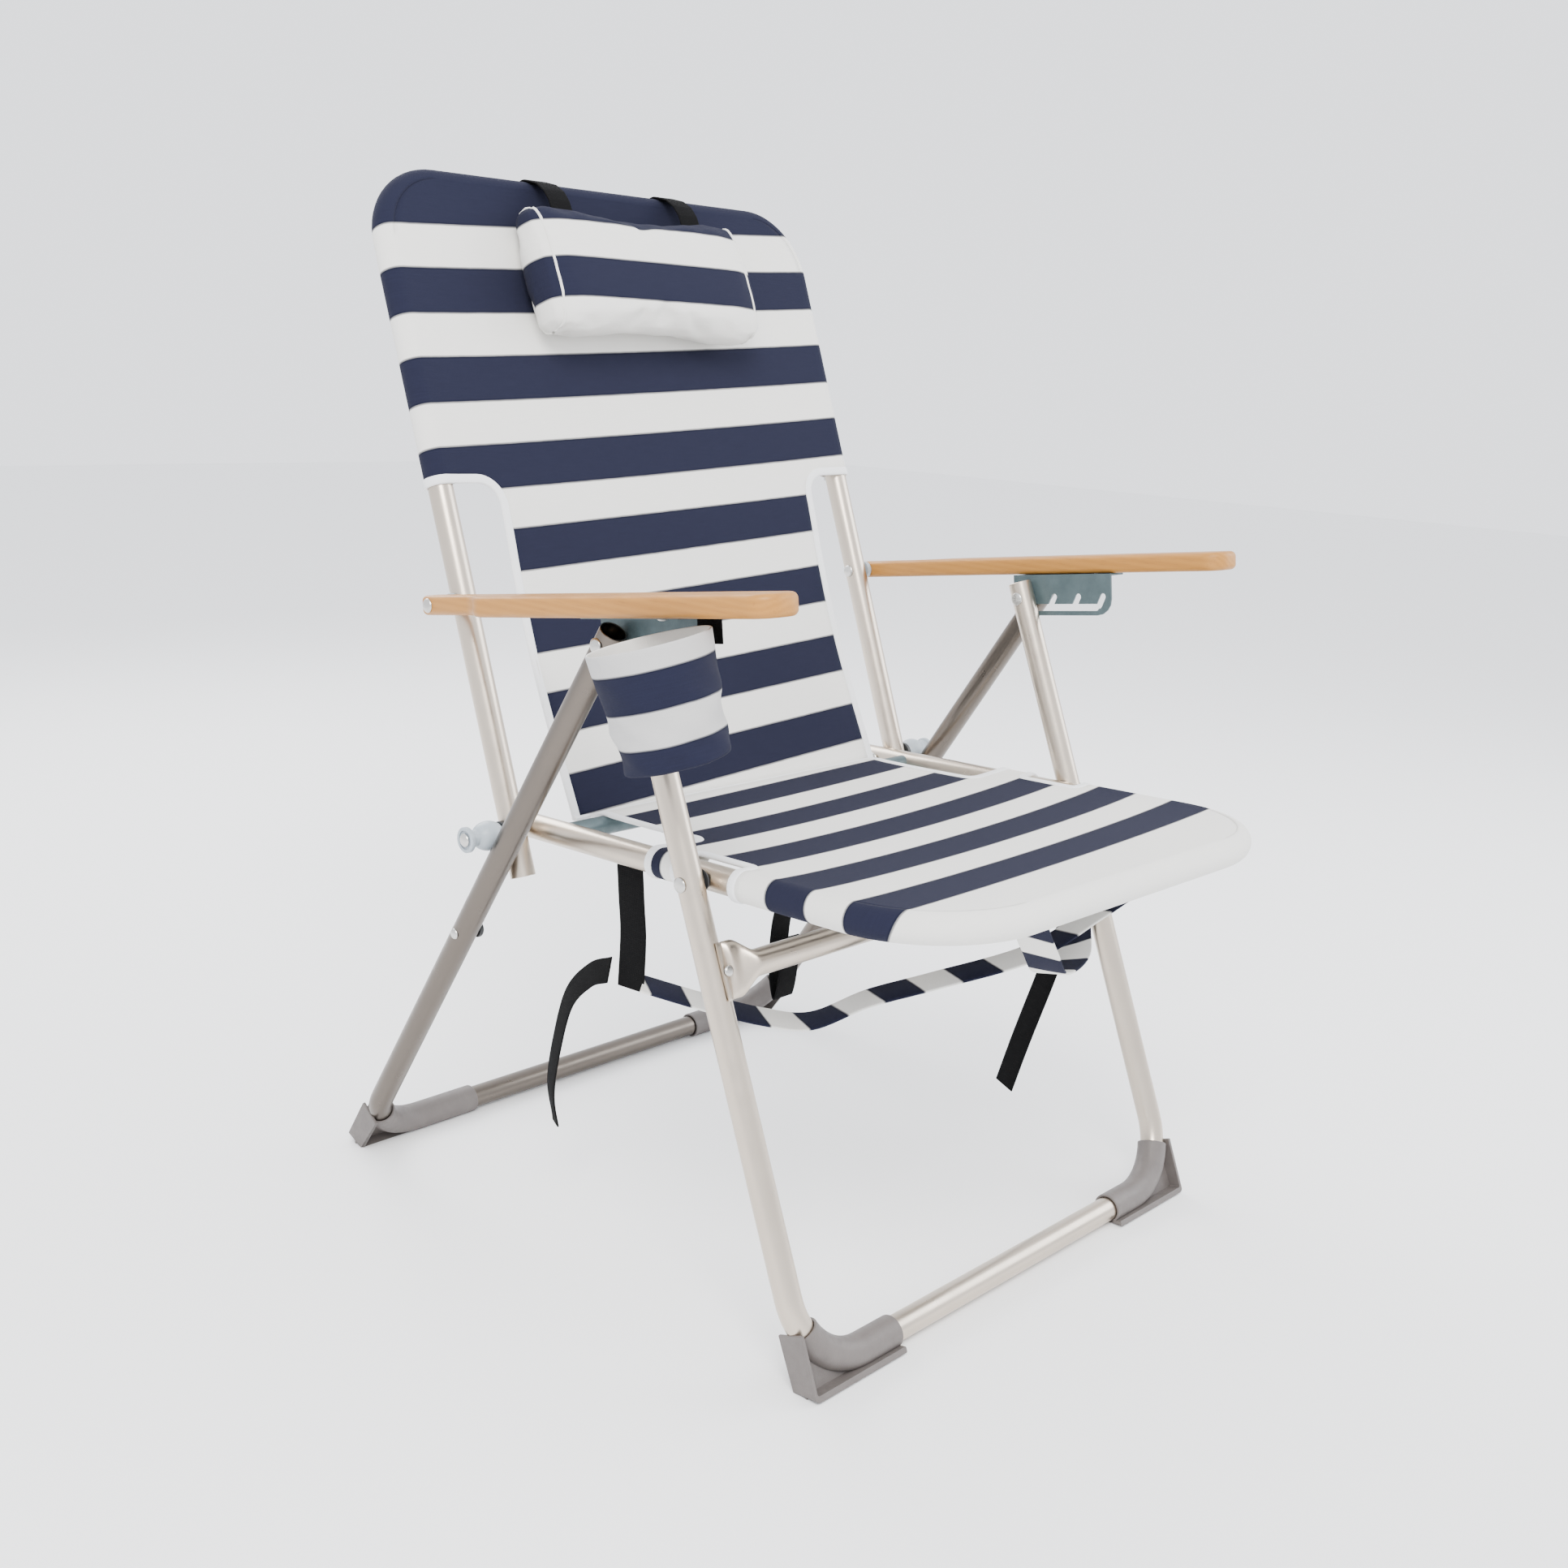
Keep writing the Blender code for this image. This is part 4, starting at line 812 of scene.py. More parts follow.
def foot(half, plane, side):
    turn = np.linspace(0, math.radians(65), 14)
    line = np.concatenate([
        np.stack([np.linspace(FOOT_START, half - LEG_BEND, 5)[:-1], np.zeros(4)], -1),
        np.stack([half - LEG_BEND + LEG_BEND * np.sin(turn), LEG_BEND * (1 - np.cos(turn))], -1)])
    sleeve = hollow_tube(place(plane, side * line[:, 0], line[:, 1]), plane[2], TUBE_R + 0.0026,
                         36, 0.006, 0.0023)
    outer, low = half + TUBE_R + FOOT_BEYOND, -TUBE_R - 0.006
    rim = slab(fillet([(FOOT_START, low, 0.001), (outer, low, 0.004), (outer, FOOT_RISE, 0.001),
                       (outer - RIM, FOOT_RISE, 0.001), (outer - RIM, low + RIM + 0.002, 0.002),
                       (FOOT_START, low + RIM + 0.002, 0.001)]), plane, side, -FOOT_HALF, FOOT_HALF)
    web = slab(fillet([(FOOT_START + 0.002, low + 0.002, 0), (outer - 0.001, low + 0.002, 0),
                       (outer - 0.001, FOOT_RISE - 0.002, 0), (half - 0.002, FOOT_RISE - 0.002, 0),
                       (half - 0.018, 0.016, 0.02), (FOOT_START + 0.002, 0.0, 0)]), plane, side,
               -0.0012, 0.0012)
    points, faces = merged(sleeve, rim, web)
    points[:, 2] = np.maximum(points[:, 2], 0.0)
    return points, faces


for name, side in SIDES:
    for which, half, plane, body in (("front", LEG_HALF, FRONT, "front_frame"),
                                     ("rear", REAR_HALF, REAR, "rear_frame")):
        softened(piece(f"{which}_foot_{name}_cap", *foot(half, plane, side), FOOT, body,
                       [f"{which}_foot_{name}"], "foot_plastic"), 0.0005, 2)

# %% [markdown]
# ## The arms
# Each arm is a beech board with a narrower tongue where it meets the post. Its edge is rounded
# over: the outline is drawn in by b(1 - cos f) as the height climbs by b sin f, for f from -90 to
# 90 degrees, which is what a router bit cuts.

# %% Arms
ARM_THICK, ARM_WIDE, TONGUE, ARM_FRONT, ARM_BEHIND, ROUND_OVER = 0.017, 0.044, 0.022, 0.432, 0.013, 0.0048
ARM_INNER = box("arm_left")[0][0] - MID


def board(outline, plane, side, thick, soft, steps=8):
    """A board with rounded edges on an outline (x, along), whose corners are wider than soft."""
    outline = np.asarray(outline)
    ahead = unit(np.roll(outline, -1, 0) - np.roll(outline, 1, 0))
    inward = np.stack([-ahead[:, 1], ahead[:, 0]], -1)
    turn = np.concatenate([np.linspace(-math.pi / 2, 0, steps), np.linspace(0, math.pi / 2, steps)])
    height = np.repeat([-1, 1], steps) * (thick / 2 - soft) + soft * np.sin(turn)
    inset = soft * (1 - np.cos(turn))
    rings = outline[None] + inset[:, None, None] * inward[None]
    points = place(plane, side * rings[..., 0], rings[..., 1], height[:, None])
    count = len(outline)
    return points.reshape(-1, 3), quads(len(turn), count, round_cols=True) + [
        list(range(count)), list(range((len(turn) - 1) * count, len(turn) * count))]


arm_outline = fillet([
    (ARM_INNER, -ARM_BEHIND, 0.0055), (ARM_INNER + TONGUE, -ARM_BEHIND, 0.008),
    (ARM_INNER + TONGUE, 0.066, 0.03), (ARM_INNER + ARM_WIDE, 0.096, 0.03),
    (ARM_INNER + ARM_WIDE, ARM_FRONT, 0.018), (ARM_INNER, ARM_FRONT, 0.018)], 10)
for name, side in SIDES:
    made = piece(f"arm_board_{name}", *board(arm_outline, ARM, side, ARM_THICK, ROUND_OVER), BEECH,
                 f"arm_{name}", [f"arm_{name}"], "beech", sharp=50)

# %% [markdown]
# ## The striped cloths
# Each cloth is one sheet with sleeves that slip over the U-shaped tube. The flat panel is a grid
# that reaches the crest line of the tube, and the sleeve is a profile carried along the tube from
# that line: half a turn outside it, then back under as a hem. The two share the crest's points.
# The UV map holds the flat pattern in metres, so the weave and the stripes follow the cut cloth.

# %% Cloth tools
def crest(half, start, length, corner, xs, rows, arc=16):
    """The crest line from one side's start, round the top, to the other side's start, as (x, along)
    and its outward direction. The top part uses the grid's own columns."""
    turn = np.linspace(0, math.pi / 2, arc)
    along = np.concatenate([rows, length - corner + corner * np.sin(turn[1:])])
    across = np.concatenate([np.full(len(rows), half), half - corner + corner * np.cos(turn[1:])])
    lean = np.concatenate([np.zeros(len(rows)), turn[1:]])
    side = np.stack([across, along, np.cos(lean), np.sin(lean)], -1)
    top = xs[1:-1][::-1] * (half - corner) / half
    middle = np.stack([top, np.full_like(top, length), np.zeros_like(top), np.ones_like(top)], -1)
    return np.concatenate([side, middle, side[::-1] * [-1, 1, -1, 1]]), across, along


def sleeve(line, radius, hem, plane):
    """A cloth sleeve along a crest line: half a turn round the tube, then a hem that runs back in."""
    turn = np.linspace(0, math.pi, 15)
    profile = np.concatenate([np.stack([radius * np.sin(turn), radius * np.cos(turn)], -1), hem])
    run = np.concatenate([[0], np.cumsum(np.linalg.norm(np.diff(profile, axis=0), axis=1))])
    flat_line = line[:, None, :2] + line[:, None, 2:] * profile[None, :, :1]
    points = place(plane, flat_line[..., 0], flat_line[..., 1],
                   np.broadcast_to(profile[None, :, 1], flat_line.shape[:2]))
    uv = line[:, None, :2] + line[:, None, 2:] * run[None, :, None]
    return points.reshape(-1, 3), quads(len(line), len(profile)), uv.reshape(-1, 2)


def panel_grid(plane, x, along, out):
    """A grid of the flat panel, from x and along as rows by columns."""
    along = np.broadcast_to(along, x.shape)
    uv = np.stack([x, along], -1).reshape(-1, 2)
    return place(plane, x, along, out).reshape(-1, 3), quads(*x.shape), uv


def cloth(name, shapes, material, node, blend, slot="striped_cloth"):
    points, faces = merged(*[(shape[0], shape[1]) for shape in shapes])
    uv = np.concatenate([shape[2] for shape in shapes])
    made = piece(name, points, faces, material, None, [node] if node else (), slot, uv, wall=0.0012,
                 sharp=70, merge=2e-5, blend=blend)
    return made


CREST = TUBE_R + 0.0012
CREASE_U, CREASE_OUT = 0.016, 0.0035
crease_at = place(SEAT, 0.0, CREASE_U, CREASE_OUT)
crease_t = (crease_at - BACK[0]) @ BACK[1]
crease_out = (crease_at - BACK[0]) @ BACK[2]
print("crease", crease_at, "back along", round(float(crease_t), 4), "out", round(float(crease_out), 4))

# %% Back cloth
STEP, NARROW, FILLET = 0.311, 0.197, 0.025
HUNG_RUN = 1.07                       # the hanging part is cut a little longer than its span
xs = np.linspace(-(NARROW + FILLET), NARROW + FILLET, 41)
edge_x = np.linspace(NARROW + FILLET, LEG_HALF, 5)[1:]
full = np.concatenate([-edge_x[::-1], xs, edge_x])
rows = np.linspace(STEP, BACK_LENGTH - BACK_CORNER, 26)
back_line, widths, alongs = crest(LEG_HALF, STEP, BACK_LENGTH, BACK_CORNER, full, rows)


def back_out(x, along):
    """How far the back panel stands out: it lies on the tube's crest at the sleeves and dips
    between them, and below the sleeves it runs straight to the crease."""
    x, along = np.broadcast_arrays(x, along)
    share = np.clip((along - STEP) / (BACK_LENGTH - STEP), 0, 1)
    dip = 0.0065 * (1 - share ** 2) ** 0.7 * np.clip(1 - (x / LEG_HALF) ** 2, 0, 1) ** 0.8
    above_step = CREST - dip
    low = np.clip(along / STEP, 0, 1)
    line = crease_out + (CREST - 0.003 - crease_out) * low
    hang = -0.012 * np.sin(math.pi * low) * (1 - 0.35 * (x / NARROW) ** 2)
    soft = 0.0006 * np.sin(x * 41 + along * 23) * np.sin(math.pi * low)
    ease = np.clip((along - (STEP - 0.09)) / 0.09, 0, 1)
    ease = ease * ease * (3 - 2 * ease)
    return np.where(along >= STEP, above_step,
                    (line + hang + soft) * (1 - ease) + (CREST - 0.0065 * np.clip(
                        1 - (x / LEG_HALF) ** 2, 0, 1) ** 0.8) * ease)


x_up = widths[:, None] / LEG_HALF * full[None]
upper = panel_grid(BACK, x_up, alongs[:, None], back_out(x_up, alongs[:, None]))
low_rows = np.concatenate([np.linspace(crease_t, STEP - FILLET, 40)[:-1],
                           np.linspace(STEP - FILLET, STEP, 9)])
into_fillet = np.maximum(low_rows - STEP + FILLET, 0)
half_low = NARROW + FILLET - np.sqrt(np.maximum(FILLET ** 2 - into_fillet ** 2, 0))
x_low = half_low[:, None] * np.linspace(-1, 1, 41)[None]
lower = panel_grid(BACK, x_low, low_rows[:, None], back_out(x_low, low_rows[:, None]))
lower[2][:, 1] = STEP + (lower[2][:, 1] - STEP) * HUNG_RUN
hem = np.array([[-0.006, -0.97], [-0.013, -0.72], [-0.021, -0.15], [-0.028, 0.42], [-0.034, 0.66]])
hem[:, 1] *= CREST
start, end = tuple(crease_at), tuple(place(BACK, 0.0, 0.13))
BACK_BEND = ("pivot_bolts", "back", start, end)
back_cloth = cloth("back_sling", [upper, lower, sleeve(back_line, CREST, hem, BACK)], BACK_STRIPE,
                   "back_cloth", BACK_BEND)

# %% Seat cloth
SLEEVE_START, NOTCH_START, NOTCH_END = 0.165, 0.196, 0.262
REAR_NARROW, REAR_FILLET = 0.180, 0.012
xs = np.linspace(-(REAR_NARROW + REAR_FILLET), REAR_NARROW + REAR_FILLET, 37)
edge_x = np.array([0.200, 0.2075, 0.215, 0.222, 0.2265, SEAT_HALF])
full = np.concatenate([-edge_x[::-1], xs, edge_x])
rows = np.linspace(NOTCH_END, SEAT_LENGTH - SEAT_CORNER, 12)
seat_line, widths, alongs = crest(SEAT_HALF, NOTCH_END, SEAT_LENGTH, SEAT_CORNER, full, rows, 20)


def seat_out(x, along):
    """How far the seat panel stands above the seat's plane: on the crest at the sleeves, dipping
    between them, and at the rear over the cross tube and down to the crease."""
    x, along = np.broadcast_arrays(x, along)
    share = np.clip((along - 0.04) / (SEAT_LENGTH - 0.04), 0, 1)
    dip = 0.0075 * np.sin(math.pi * share) ** 0.8 * np.clip(1 - (x / SEAT_HALF) ** 2, 0, 1) ** 0.8
    rise = np.interp(along, [CREASE_U, 0.026, 0.038, 0.050, 0.100, 0.165, 1],
                     [CREASE_OUT, 0.0082, 0.0097, 0.0097, 0.0105, CREST, CREST])
    return rise - dip


x_up = widths[:, None] / SEAT_HALF * full[None]
front = panel_grid(SEAT, x_up, alongs[:, None], seat_out(x_up, alongs[:, None]))
notch_rows = NOTCH_START + np.array([
    0, 0.0012, 0.004, 0.0075, 0.02, 0.033, 0.046, 0.0585, 0.062, 0.0648, 0.066])
inset = np.minimum(notch_rows - NOTCH_START, NOTCH_END - notch_rows)
half_notch = 0.222 - np.sqrt(np.maximum(0.007 ** 2 - np.maximum(0.007 - inset, 0) ** 2, 0))
inner = full[np.abs(full) < 0.2221]
mix = np.clip((np.abs(inner) - 0.192) / (0.222 - 0.192), 0, 1)
x_notch = np.sign(inner)[None] * (np.abs(inner)[None] - mix[None] * (0.222 - half_notch[:, None]))
notch = panel_grid(SEAT, x_notch, notch_rows[:, None], seat_out(x_notch, notch_rows[:, None]))
tab_rows = np.linspace(SLEEVE_START, NOTCH_START, 6)
x_tab = np.broadcast_to(full, (len(tab_rows), len(full)))
tab = panel_grid(SEAT, x_tab, tab_rows[:, None], seat_out(x_tab, tab_rows[:, None]))
rear_rows = np.concatenate([np.linspace(CREASE_U, 0.05, 10)[:-1],
                            np.linspace(0.05, SLEEVE_START - REAR_FILLET, 12)[:-1],
                            np.linspace(SLEEVE_START - REAR_FILLET, SLEEVE_START, 7)])
half_rear = REAR_NARROW + REAR_FILLET - np.sqrt(np.maximum(
    REAR_FILLET ** 2 - np.maximum(rear_rows - SLEEVE_START + REAR_FILLET, 0) ** 2, 0))
x_rear = half_rear[:, None] * np.linspace(-1, 1, 37)[None]
rear = panel_grid(SEAT, x_rear, rear_rows[:, None], seat_out(x_rear, rear_rows[:, None]))
shapes = [front, notch, tab, rear, sleeve(seat_line, CREST, hem, SEAT)]
for side in (1, -1):
    line = np.stack([np.full(6, side * SEAT_HALF), tab_rows, np.full(6, side), np.zeros(6)], -1)
    shapes.append(sleeve(line, CREST, hem, SEAT))
SEAT_BEND = ("pivot_bolts", "seat", start, tuple(place(SEAT, 0.0, 0.10)))
seat_cloth = cloth("seat_sling", shapes, SEAT_STRIPE, "seat_cloth", SEAT_BEND)

# %% [markdown]
# ## White bindings
# A folded tape is sewn over each free edge of both cloths. Its flattened section is carried along
# the edge, and its flat side lies against the cloth's own normal.

# %% Bindings
def taped(name, path, normal, body=None, blend=None, wide=0.0085, thick=0.0034):
    """A tape along a path, with its width across the path and in the cloth's surface."""
    ahead = unit(np.gradient(path, axis=0))
    side = unit(np.cross(np.broadcast_to(normal, path.shape), ahead))
    section = flat_section(wide, thick, 7)
    points, faces = carried(path, section, side)
    run = np.concatenate([[0], np.cumsum(np.linalg.norm(np.diff(path, axis=0), axis=1))])
    uv = np.stack(np.broadcast_arrays(section[None, :, 0], run[:, None]), -1)
    return piece(name, points, faces, BINDING, body, (), "striped_cloth", uv, blend=blend, sharp=60)


def round_tube(plane, half, side, along, radius, start=200, steps=14):
    """Points and normals round a tube at one place, from under it to its crest."""
    turn = np.radians(np.linspace(start, 0, steps))
    points = place(plane, side * (half + radius * np.sin(turn)), along, radius * np.cos(turn))
    normal = side * np.sin(turn)[:, None] * ACROSS + np.cos(turn)[:, None] * plane[2]
    return points, normal


def surface_normal(plane, count):
    return np.broadcast_to(plane[2], (count, 3))


turn = np.radians(np.linspace(90, 180, 10))
for name, side in SIDES:
    ring, ring_normal = round_tube(BACK, LEG_HALF, side, STEP, CREST)
    x = np.concatenate([np.linspace(LEG_HALF, NARROW + FILLET, 7)[1:-1],
                        NARROW + FILLET + FILLET * np.cos(turn), np.full(30, NARROW)])
    along = np.concatenate([np.full(5, STEP), STEP - FILLET + FILLET * np.sin(turn),
                            np.linspace(STEP - FILLET, crease_t, 31)[1:]])
    flat = place(BACK, side * x, along, back_out(x, along))
    taped(f"back_binding_{name}", np.concatenate([ring, flat]),
          np.concatenate([ring_normal, surface_normal(BACK, len(x))]), blend=BACK_BEND)

    ring, ring_normal = round_tube(SEAT, SEAT_HALF, side, SLEEVE_START, CREST)
    corner = REAR_NARROW + REAR_FILLET
    x = np.concatenate([np.linspace(SEAT_HALF, corner, 7)[1:-1], corner + REAR_FILLET * np.cos(turn),
                        np.full(20, REAR_NARROW)])
    along = np.concatenate([np.full(5, SLEEVE_START), SLEEVE_START - REAR_FILLET + REAR_FILLET * np.sin(turn),
                            np.linspace(SLEEVE_START - REAR_FILLET, CREASE_U, 21)[1:]])
    flat = place(SEAT, side * x, along, seat_out(x, along))
    taped(f"seat_binding_{name}", np.concatenate([ring, flat]),
          np.concatenate([ring_normal, surface_normal(SEAT, len(x))]), blend=SEAT_BEND)

    first, first_normal = round_tube(SEAT, SEAT_HALF, side, NOTCH_START, CREST)
    last, last_normal = round_tube(SEAT, SEAT_HALF, side, NOTCH_END, CREST)
    flat = place(SEAT, side * half_notch, notch_rows, seat_out(half_notch, notch_rows))
    taped(f"seat_notch_binding_{name}", np.concatenate([first[:-1], flat, last[::-1][1:]]),
          np.concatenate([first_normal[:-1], surface_normal(SEAT, len(flat)), last_normal[::-1][1:]]),
          body="seat")
x = np.linspace(-NARROW - 0.003, NARROW + 0.003, 40)
taped("crease_binding", place(SEAT, x, CREASE_U, CREASE_OUT + 0.001), UP, body="pivot_bolts",
      wide=0.007, thick=0.0036)


# %% [markdown]
# ## The pillow
# The pillow is a small stuffed bag. It starts as a rounded block, a superellipse section drawn
# along its width, and a cloth simulation blows it up from inside, which puffs its faces and pulls
# small folds at its seams. It hangs by two black straps that go over the top tube.

# %% Pillow
PILLOW_W, PILLOW_H, PILLOW_D, PILLOW_AT = 0.254, 0.124, 0.044, 0.4975
PILLOW_REST = CREST + 0.0012


def pillow_shape(power=3.2, sides=64, rows=40):
    """(w*u, h/2 * c^(2/p), d/2 * s^(2/p)) for a superellipse of power p, with its ends drawn in."""
    angle = np.arange(sides) * 2 * math.pi / sides
    c, s_ = np.cos(angle), np.sin(angle)
    ring = np.stack([np.sign(c) * np.abs(c) ** (2 / power), np.sign(s_) * np.abs(s_) ** (2 / power)], -1)
    u = np.sin(np.linspace(-math.pi / 2, math.pi / 2, rows))
    thin = np.array([1, 0.98])[None] * ((1 - np.abs(u) ** 9) ** 0.3 * 0.35 + 0.65)[:, None]
    points = np.stack([np.broadcast_to(u[:, None] * PILLOW_W / 2, (rows, sides)),
                       ring[None, :, 0] * thin[:, :1] * PILLOW_H / 2,
                       ring[None, :, 1] * thin[:, 1:] * PILLOW_D / 2 + PILLOW_D / 2], -1)
    return points.reshape(-1, 3), quads(rows, sides, round_cols=True) + [
        list(range(sides)), list(range((rows - 1) * sides, rows * sides))]


def puffed(points, faces, size=0.005, pressure=4.0, last=20, most=0.007):
    """The block remeshed evenly and blown up by cloth pressure, with no point moved over a limit."""
    mesh = bpy.data.meshes.new("puff")
    mesh.from_pydata(points.tolist(), [], faces)
    bag = bpy.data.objects.new("puff", mesh)
    bpy.context.scene.collection.objects.link(bag)
    even = bag.modifiers.new("even", "REMESH")
    even.mode, even.voxel_size = "VOXEL", size
    graph = bpy.context.evaluated_depsgraph_get()
    start_mesh = bpy.data.meshes.new_from_object(bag.evaluated_get(graph))
    bag.modifiers.clear()
    bag.data = start_mesh
    count = len(start_mesh.vertices)
    before = np.empty(count * 3)
    start_mesh.vertices.foreach_get("co", before)
    before = before.reshape(-1, 3)
    after = before
    soft = bag.modifiers.new("bag", "CLOTH")
    soft.settings.use_pressure = True
    soft.settings.uniform_pressure_force = pressure
    soft.settings.effector_weights.gravity = 0
    soft.settings.tension_stiffness = soft.settings.compression_stiffness = 12
    soft.settings.shrink_min = -0.05
    soft.point_cache.frame_start, soft.point_cache.frame_end = 1, last
    for number in range(1, last + 1):
        bpy.context.scene.frame_set(number)
    graph = bpy.context.evaluated_depsgraph_get()
    done = bag.evaluated_get(graph).to_mesh()
    after = np.empty(count * 3)
    done.vertices.foreach_get("co", after)
    after = after.reshape(-1, 3)
    bpy.context.scene.frame_set(1)
    bag.modifiers.clear()
    step = after - before
    far = np.linalg.norm(step, axis=1, keepdims=True)
    after = before + step * np.minimum(1, most / np.maximum(far, 1e-9))
    print("pillow moved", round(float(far.max()), 4), "at most", count, "points")
    faces = [list(face.vertices) for face in start_mesh.polygons]
    bpy.data.objects.remove(bag)
    return after, faces


local, faces = puffed(*pillow_shape())
fold = 0.0012 * np.sin(local[:, 0] * 190 + local[:, 1] * 60) * np.clip(np.abs(local[:, 1]) / 0.06, 0, 1) ** 4
local[:, 2] += fold + 0.010 * np.clip(-local[:, 1] / 0.12, -0.5, 0.5) * np.clip(local[:, 2] / 0.03, 0, 1)
out = np.maximum(PILLOW_REST + local[:, 2], PILLOW_REST)
points = place(BACK, local[:, 0], PILLOW_AT + local[:, 1], out)
pillow = piece("head_pillow", points, faces, PILLOW_STRIPE, "back", ["pillow"], "cream_cloth",
               np.stack([local[:, 0], PILLOW_AT + local[:, 1]], -1), sharp=80)
smooth = pillow.modifiers.new("smooth", "SUBSURF")
smooth.levels = smooth.render_levels = 1
PIPING_IN, PIPING_R = 0.006, 0.0013
for side in (1, -1):
    near = np.abs(side * local[:, 0] - (PILLOW_W / 2 - PIPING_IN)) < 0.004
    y, z = local[near, 1], local[near, 2] - PILLOW_D / 2
    around = np.arctan2(z / PILLOW_D, y / PILLOW_H)
    order = np.argsort(around)
    angle = np.arange(48) * 2 * math.pi / 48 - math.pi
    y, z = (np.interp(angle, around[order], axis[order], period=2 * math.pi) for axis in (y, z))
    ring = place(BACK, side * (PILLOW_W / 2 - PIPING_IN), PILLOW_AT + y,
                 np.maximum(PILLOW_REST + PILLOW_D / 2 + z, PILLOW_REST + PIPING_R))
    ring = np.concatenate([ring, ring[:1]])
    run = np.linspace(0, 0.33, len(ring))
    section = circle(PIPING_R, 10)
    tube_points, tube_faces = carried(ring, section, ACROSS)
    piece(f"pillow_piping_{'left' if side > 0 else 'right'}", tube_points, tube_faces, CUP_LINING, "back",
          (), "cream_cloth", np.stack(np.broadcast_arrays(section[None, :, 0], run[:, None]), -1))

# %% [markdown]
# ## Straps
# The carry straps are the same striped cloth folded flat, and they hang from black webbing under
# the seat. Each strap is a thin flat section carried along a smooth curve through a few points,
# which is how a strap of even width lies: it bends along its length, never across it.

# %% Straps
def smooth_curve(knots, per_span=9):
    """A Catmull-Rom curve through the knots."""
    knots = np.asarray(knots, float)
    ends = np.concatenate([[2 * knots[0] - knots[1]], knots, [2 * knots[-1] - knots[-2]]])
    p0, p1, p2, p3 = (ends[k:k + len(knots) - 1, None] for k in range(4))
    t = np.linspace(0, 1, per_span, endpoint=False)[None, :, None]
    curve = 0.5 * (2 * p1 + (p2 - p0) * t + (2 * p0 - 5 * p1 + 4 * p2 - p3) * t ** 2
                   + (3 * p1 - p0 - 3 * p2 + p3) * t ** 3)
    return np.concatenate([curve.reshape(-1, 3), knots[-1:]])


def strap(name, path, wide, side, material, body, node, slot, thick=0.0016, flatten=False, wave=0.0):
    section = flat_section(wide, thick, 5)
    shape, faces = carried(path, section, side)
    run = np.concatenate([[0], np.cumsum(np.linalg.norm(np.diff(path, axis=0), axis=1))])
    shape[:, 2] += wave * np.sin(np.repeat(run, len(section)) * 70)
    uv = np.stack(np.broadcast_arrays(section[None, :, 0], run[:, None]), -1)
    made = piece(name, shape, faces, material, body, [node], slot, uv, sharp=70)
    if flatten:
        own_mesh(made)
    return made


SHIFT = np.array([MID, bar_front[1], 0])


def hung(name, knots, wide, side, material, slot, thick=0.0016, wave=0.0):
    strap(f"{name}_woven", smooth_curve(np.array(knots) + SHIFT), wide, side, material, "seat", name, slot,
          thick, True, wave)


hung("carry_strap_right", [(-.222, .240, .258), (-.185, .200, .244), (-.150, .165, .233), (-.119, .138, .230),
     (-.085, .105, .252), (-.045, .066, .270), (.010, .010, .298), (.050, -.025, .335), (.085, -.050, .366)],
     0.030, (.5, .55, .1), CARRY_STRIPE, "striped_cloth", 0.0024)
hung("carry_strap_left", [(.222, .085, .276), (.190, .062, .296), (.150, .040, .304), (.105, .030, .300),
     (.060, 0, .288), (0, -.020, .292), (-.045, -.038, .325), (-.085, -.050, .366)],
     0.030, (.3, -.8, .1), CARRY_STRIPE, "striped_cloth", 0.0024)
hung("webbing_right", [(-.2195, .262, .356), (-.2195, .259, .325), (-.2195, .256, .295),
     (-.2235, .253, .250)], 0.033, (0, 1, 0), WEBBING, "webbing")
hung("webbing_left", [(.2195, .152, .352), (.2195, .152, .325), (.2195, .142, .296), (.2230, .118, .277)],
     0.033, (0, 1, 0), WEBBING, "webbing")
hung("webbing_tail_right", [(-.229, .275, .262), (-.229, .300, .250), (-.229, .329, .220),
     (-.229, .346, .170), (-.228, .355, .125), (-.226, .350, .091)], 0.024, (.35, .8, .3), WEBBING,
     "webbing")
hung("webbing_tail_left", [(.229, .108, .262), (.229, .128, .225), (.229, .146, .170), (.229, .165, .110),
     (.229, .181, .055)], 0.024, (.1, .9, .2), WEBBING, "webbing")
hung("webbing_loop", [(-.020, .250, .352), (-.020, .262, .310), (-.020, .274, .260), (-.020, .275, .215),
     (-.020, .268, .188), (-.020, .262, .215), (-.020, .262, .250)], 0.025, (1, 0, 0), WEBBING, "webbing")

for name, side in SIDES:
    arc = np.radians(np.linspace(62, 180, 16))
    around = CREST + 0.0022
    path = np.concatenate([
        [[PILLOW_AT + PILLOW_H / 2 - 0.004, 0.036], [PILLOW_AT + PILLOW_H / 2 + 0.008, 0.0345],
         [BACK_LENGTH - 0.006, 0.030], [BACK_LENGTH + 0.004, 0.0215]],
        np.stack([BACK_LENGTH + around * np.sin(arc), around * np.cos(arc)], -1),
        [[BACK_LENGTH - 0.030, -around], [BACK_LENGTH - 0.075, -around + 0.0005],
         [BACK_LENGTH - 0.120, -around + 0.001]]])
    strap(f"pillow_strap_{name}_woven", place(BACK, side * 0.081, path[:, 0], path[:, 1]), 0.025, ACROSS,
          WEBBING, "back", f"pillow_strap_{name}", "webbing")

# %% [markdown]
# ## The cup holder
# The cup holder is a limp cloth cup that hangs from the arm. Its wall is a turned profile whose
# radius has folds that grow towards the bottom, with a doubled hem at the mouth. It is drawn
# outside, over the rim and down inside again, so that it has a real thickness.

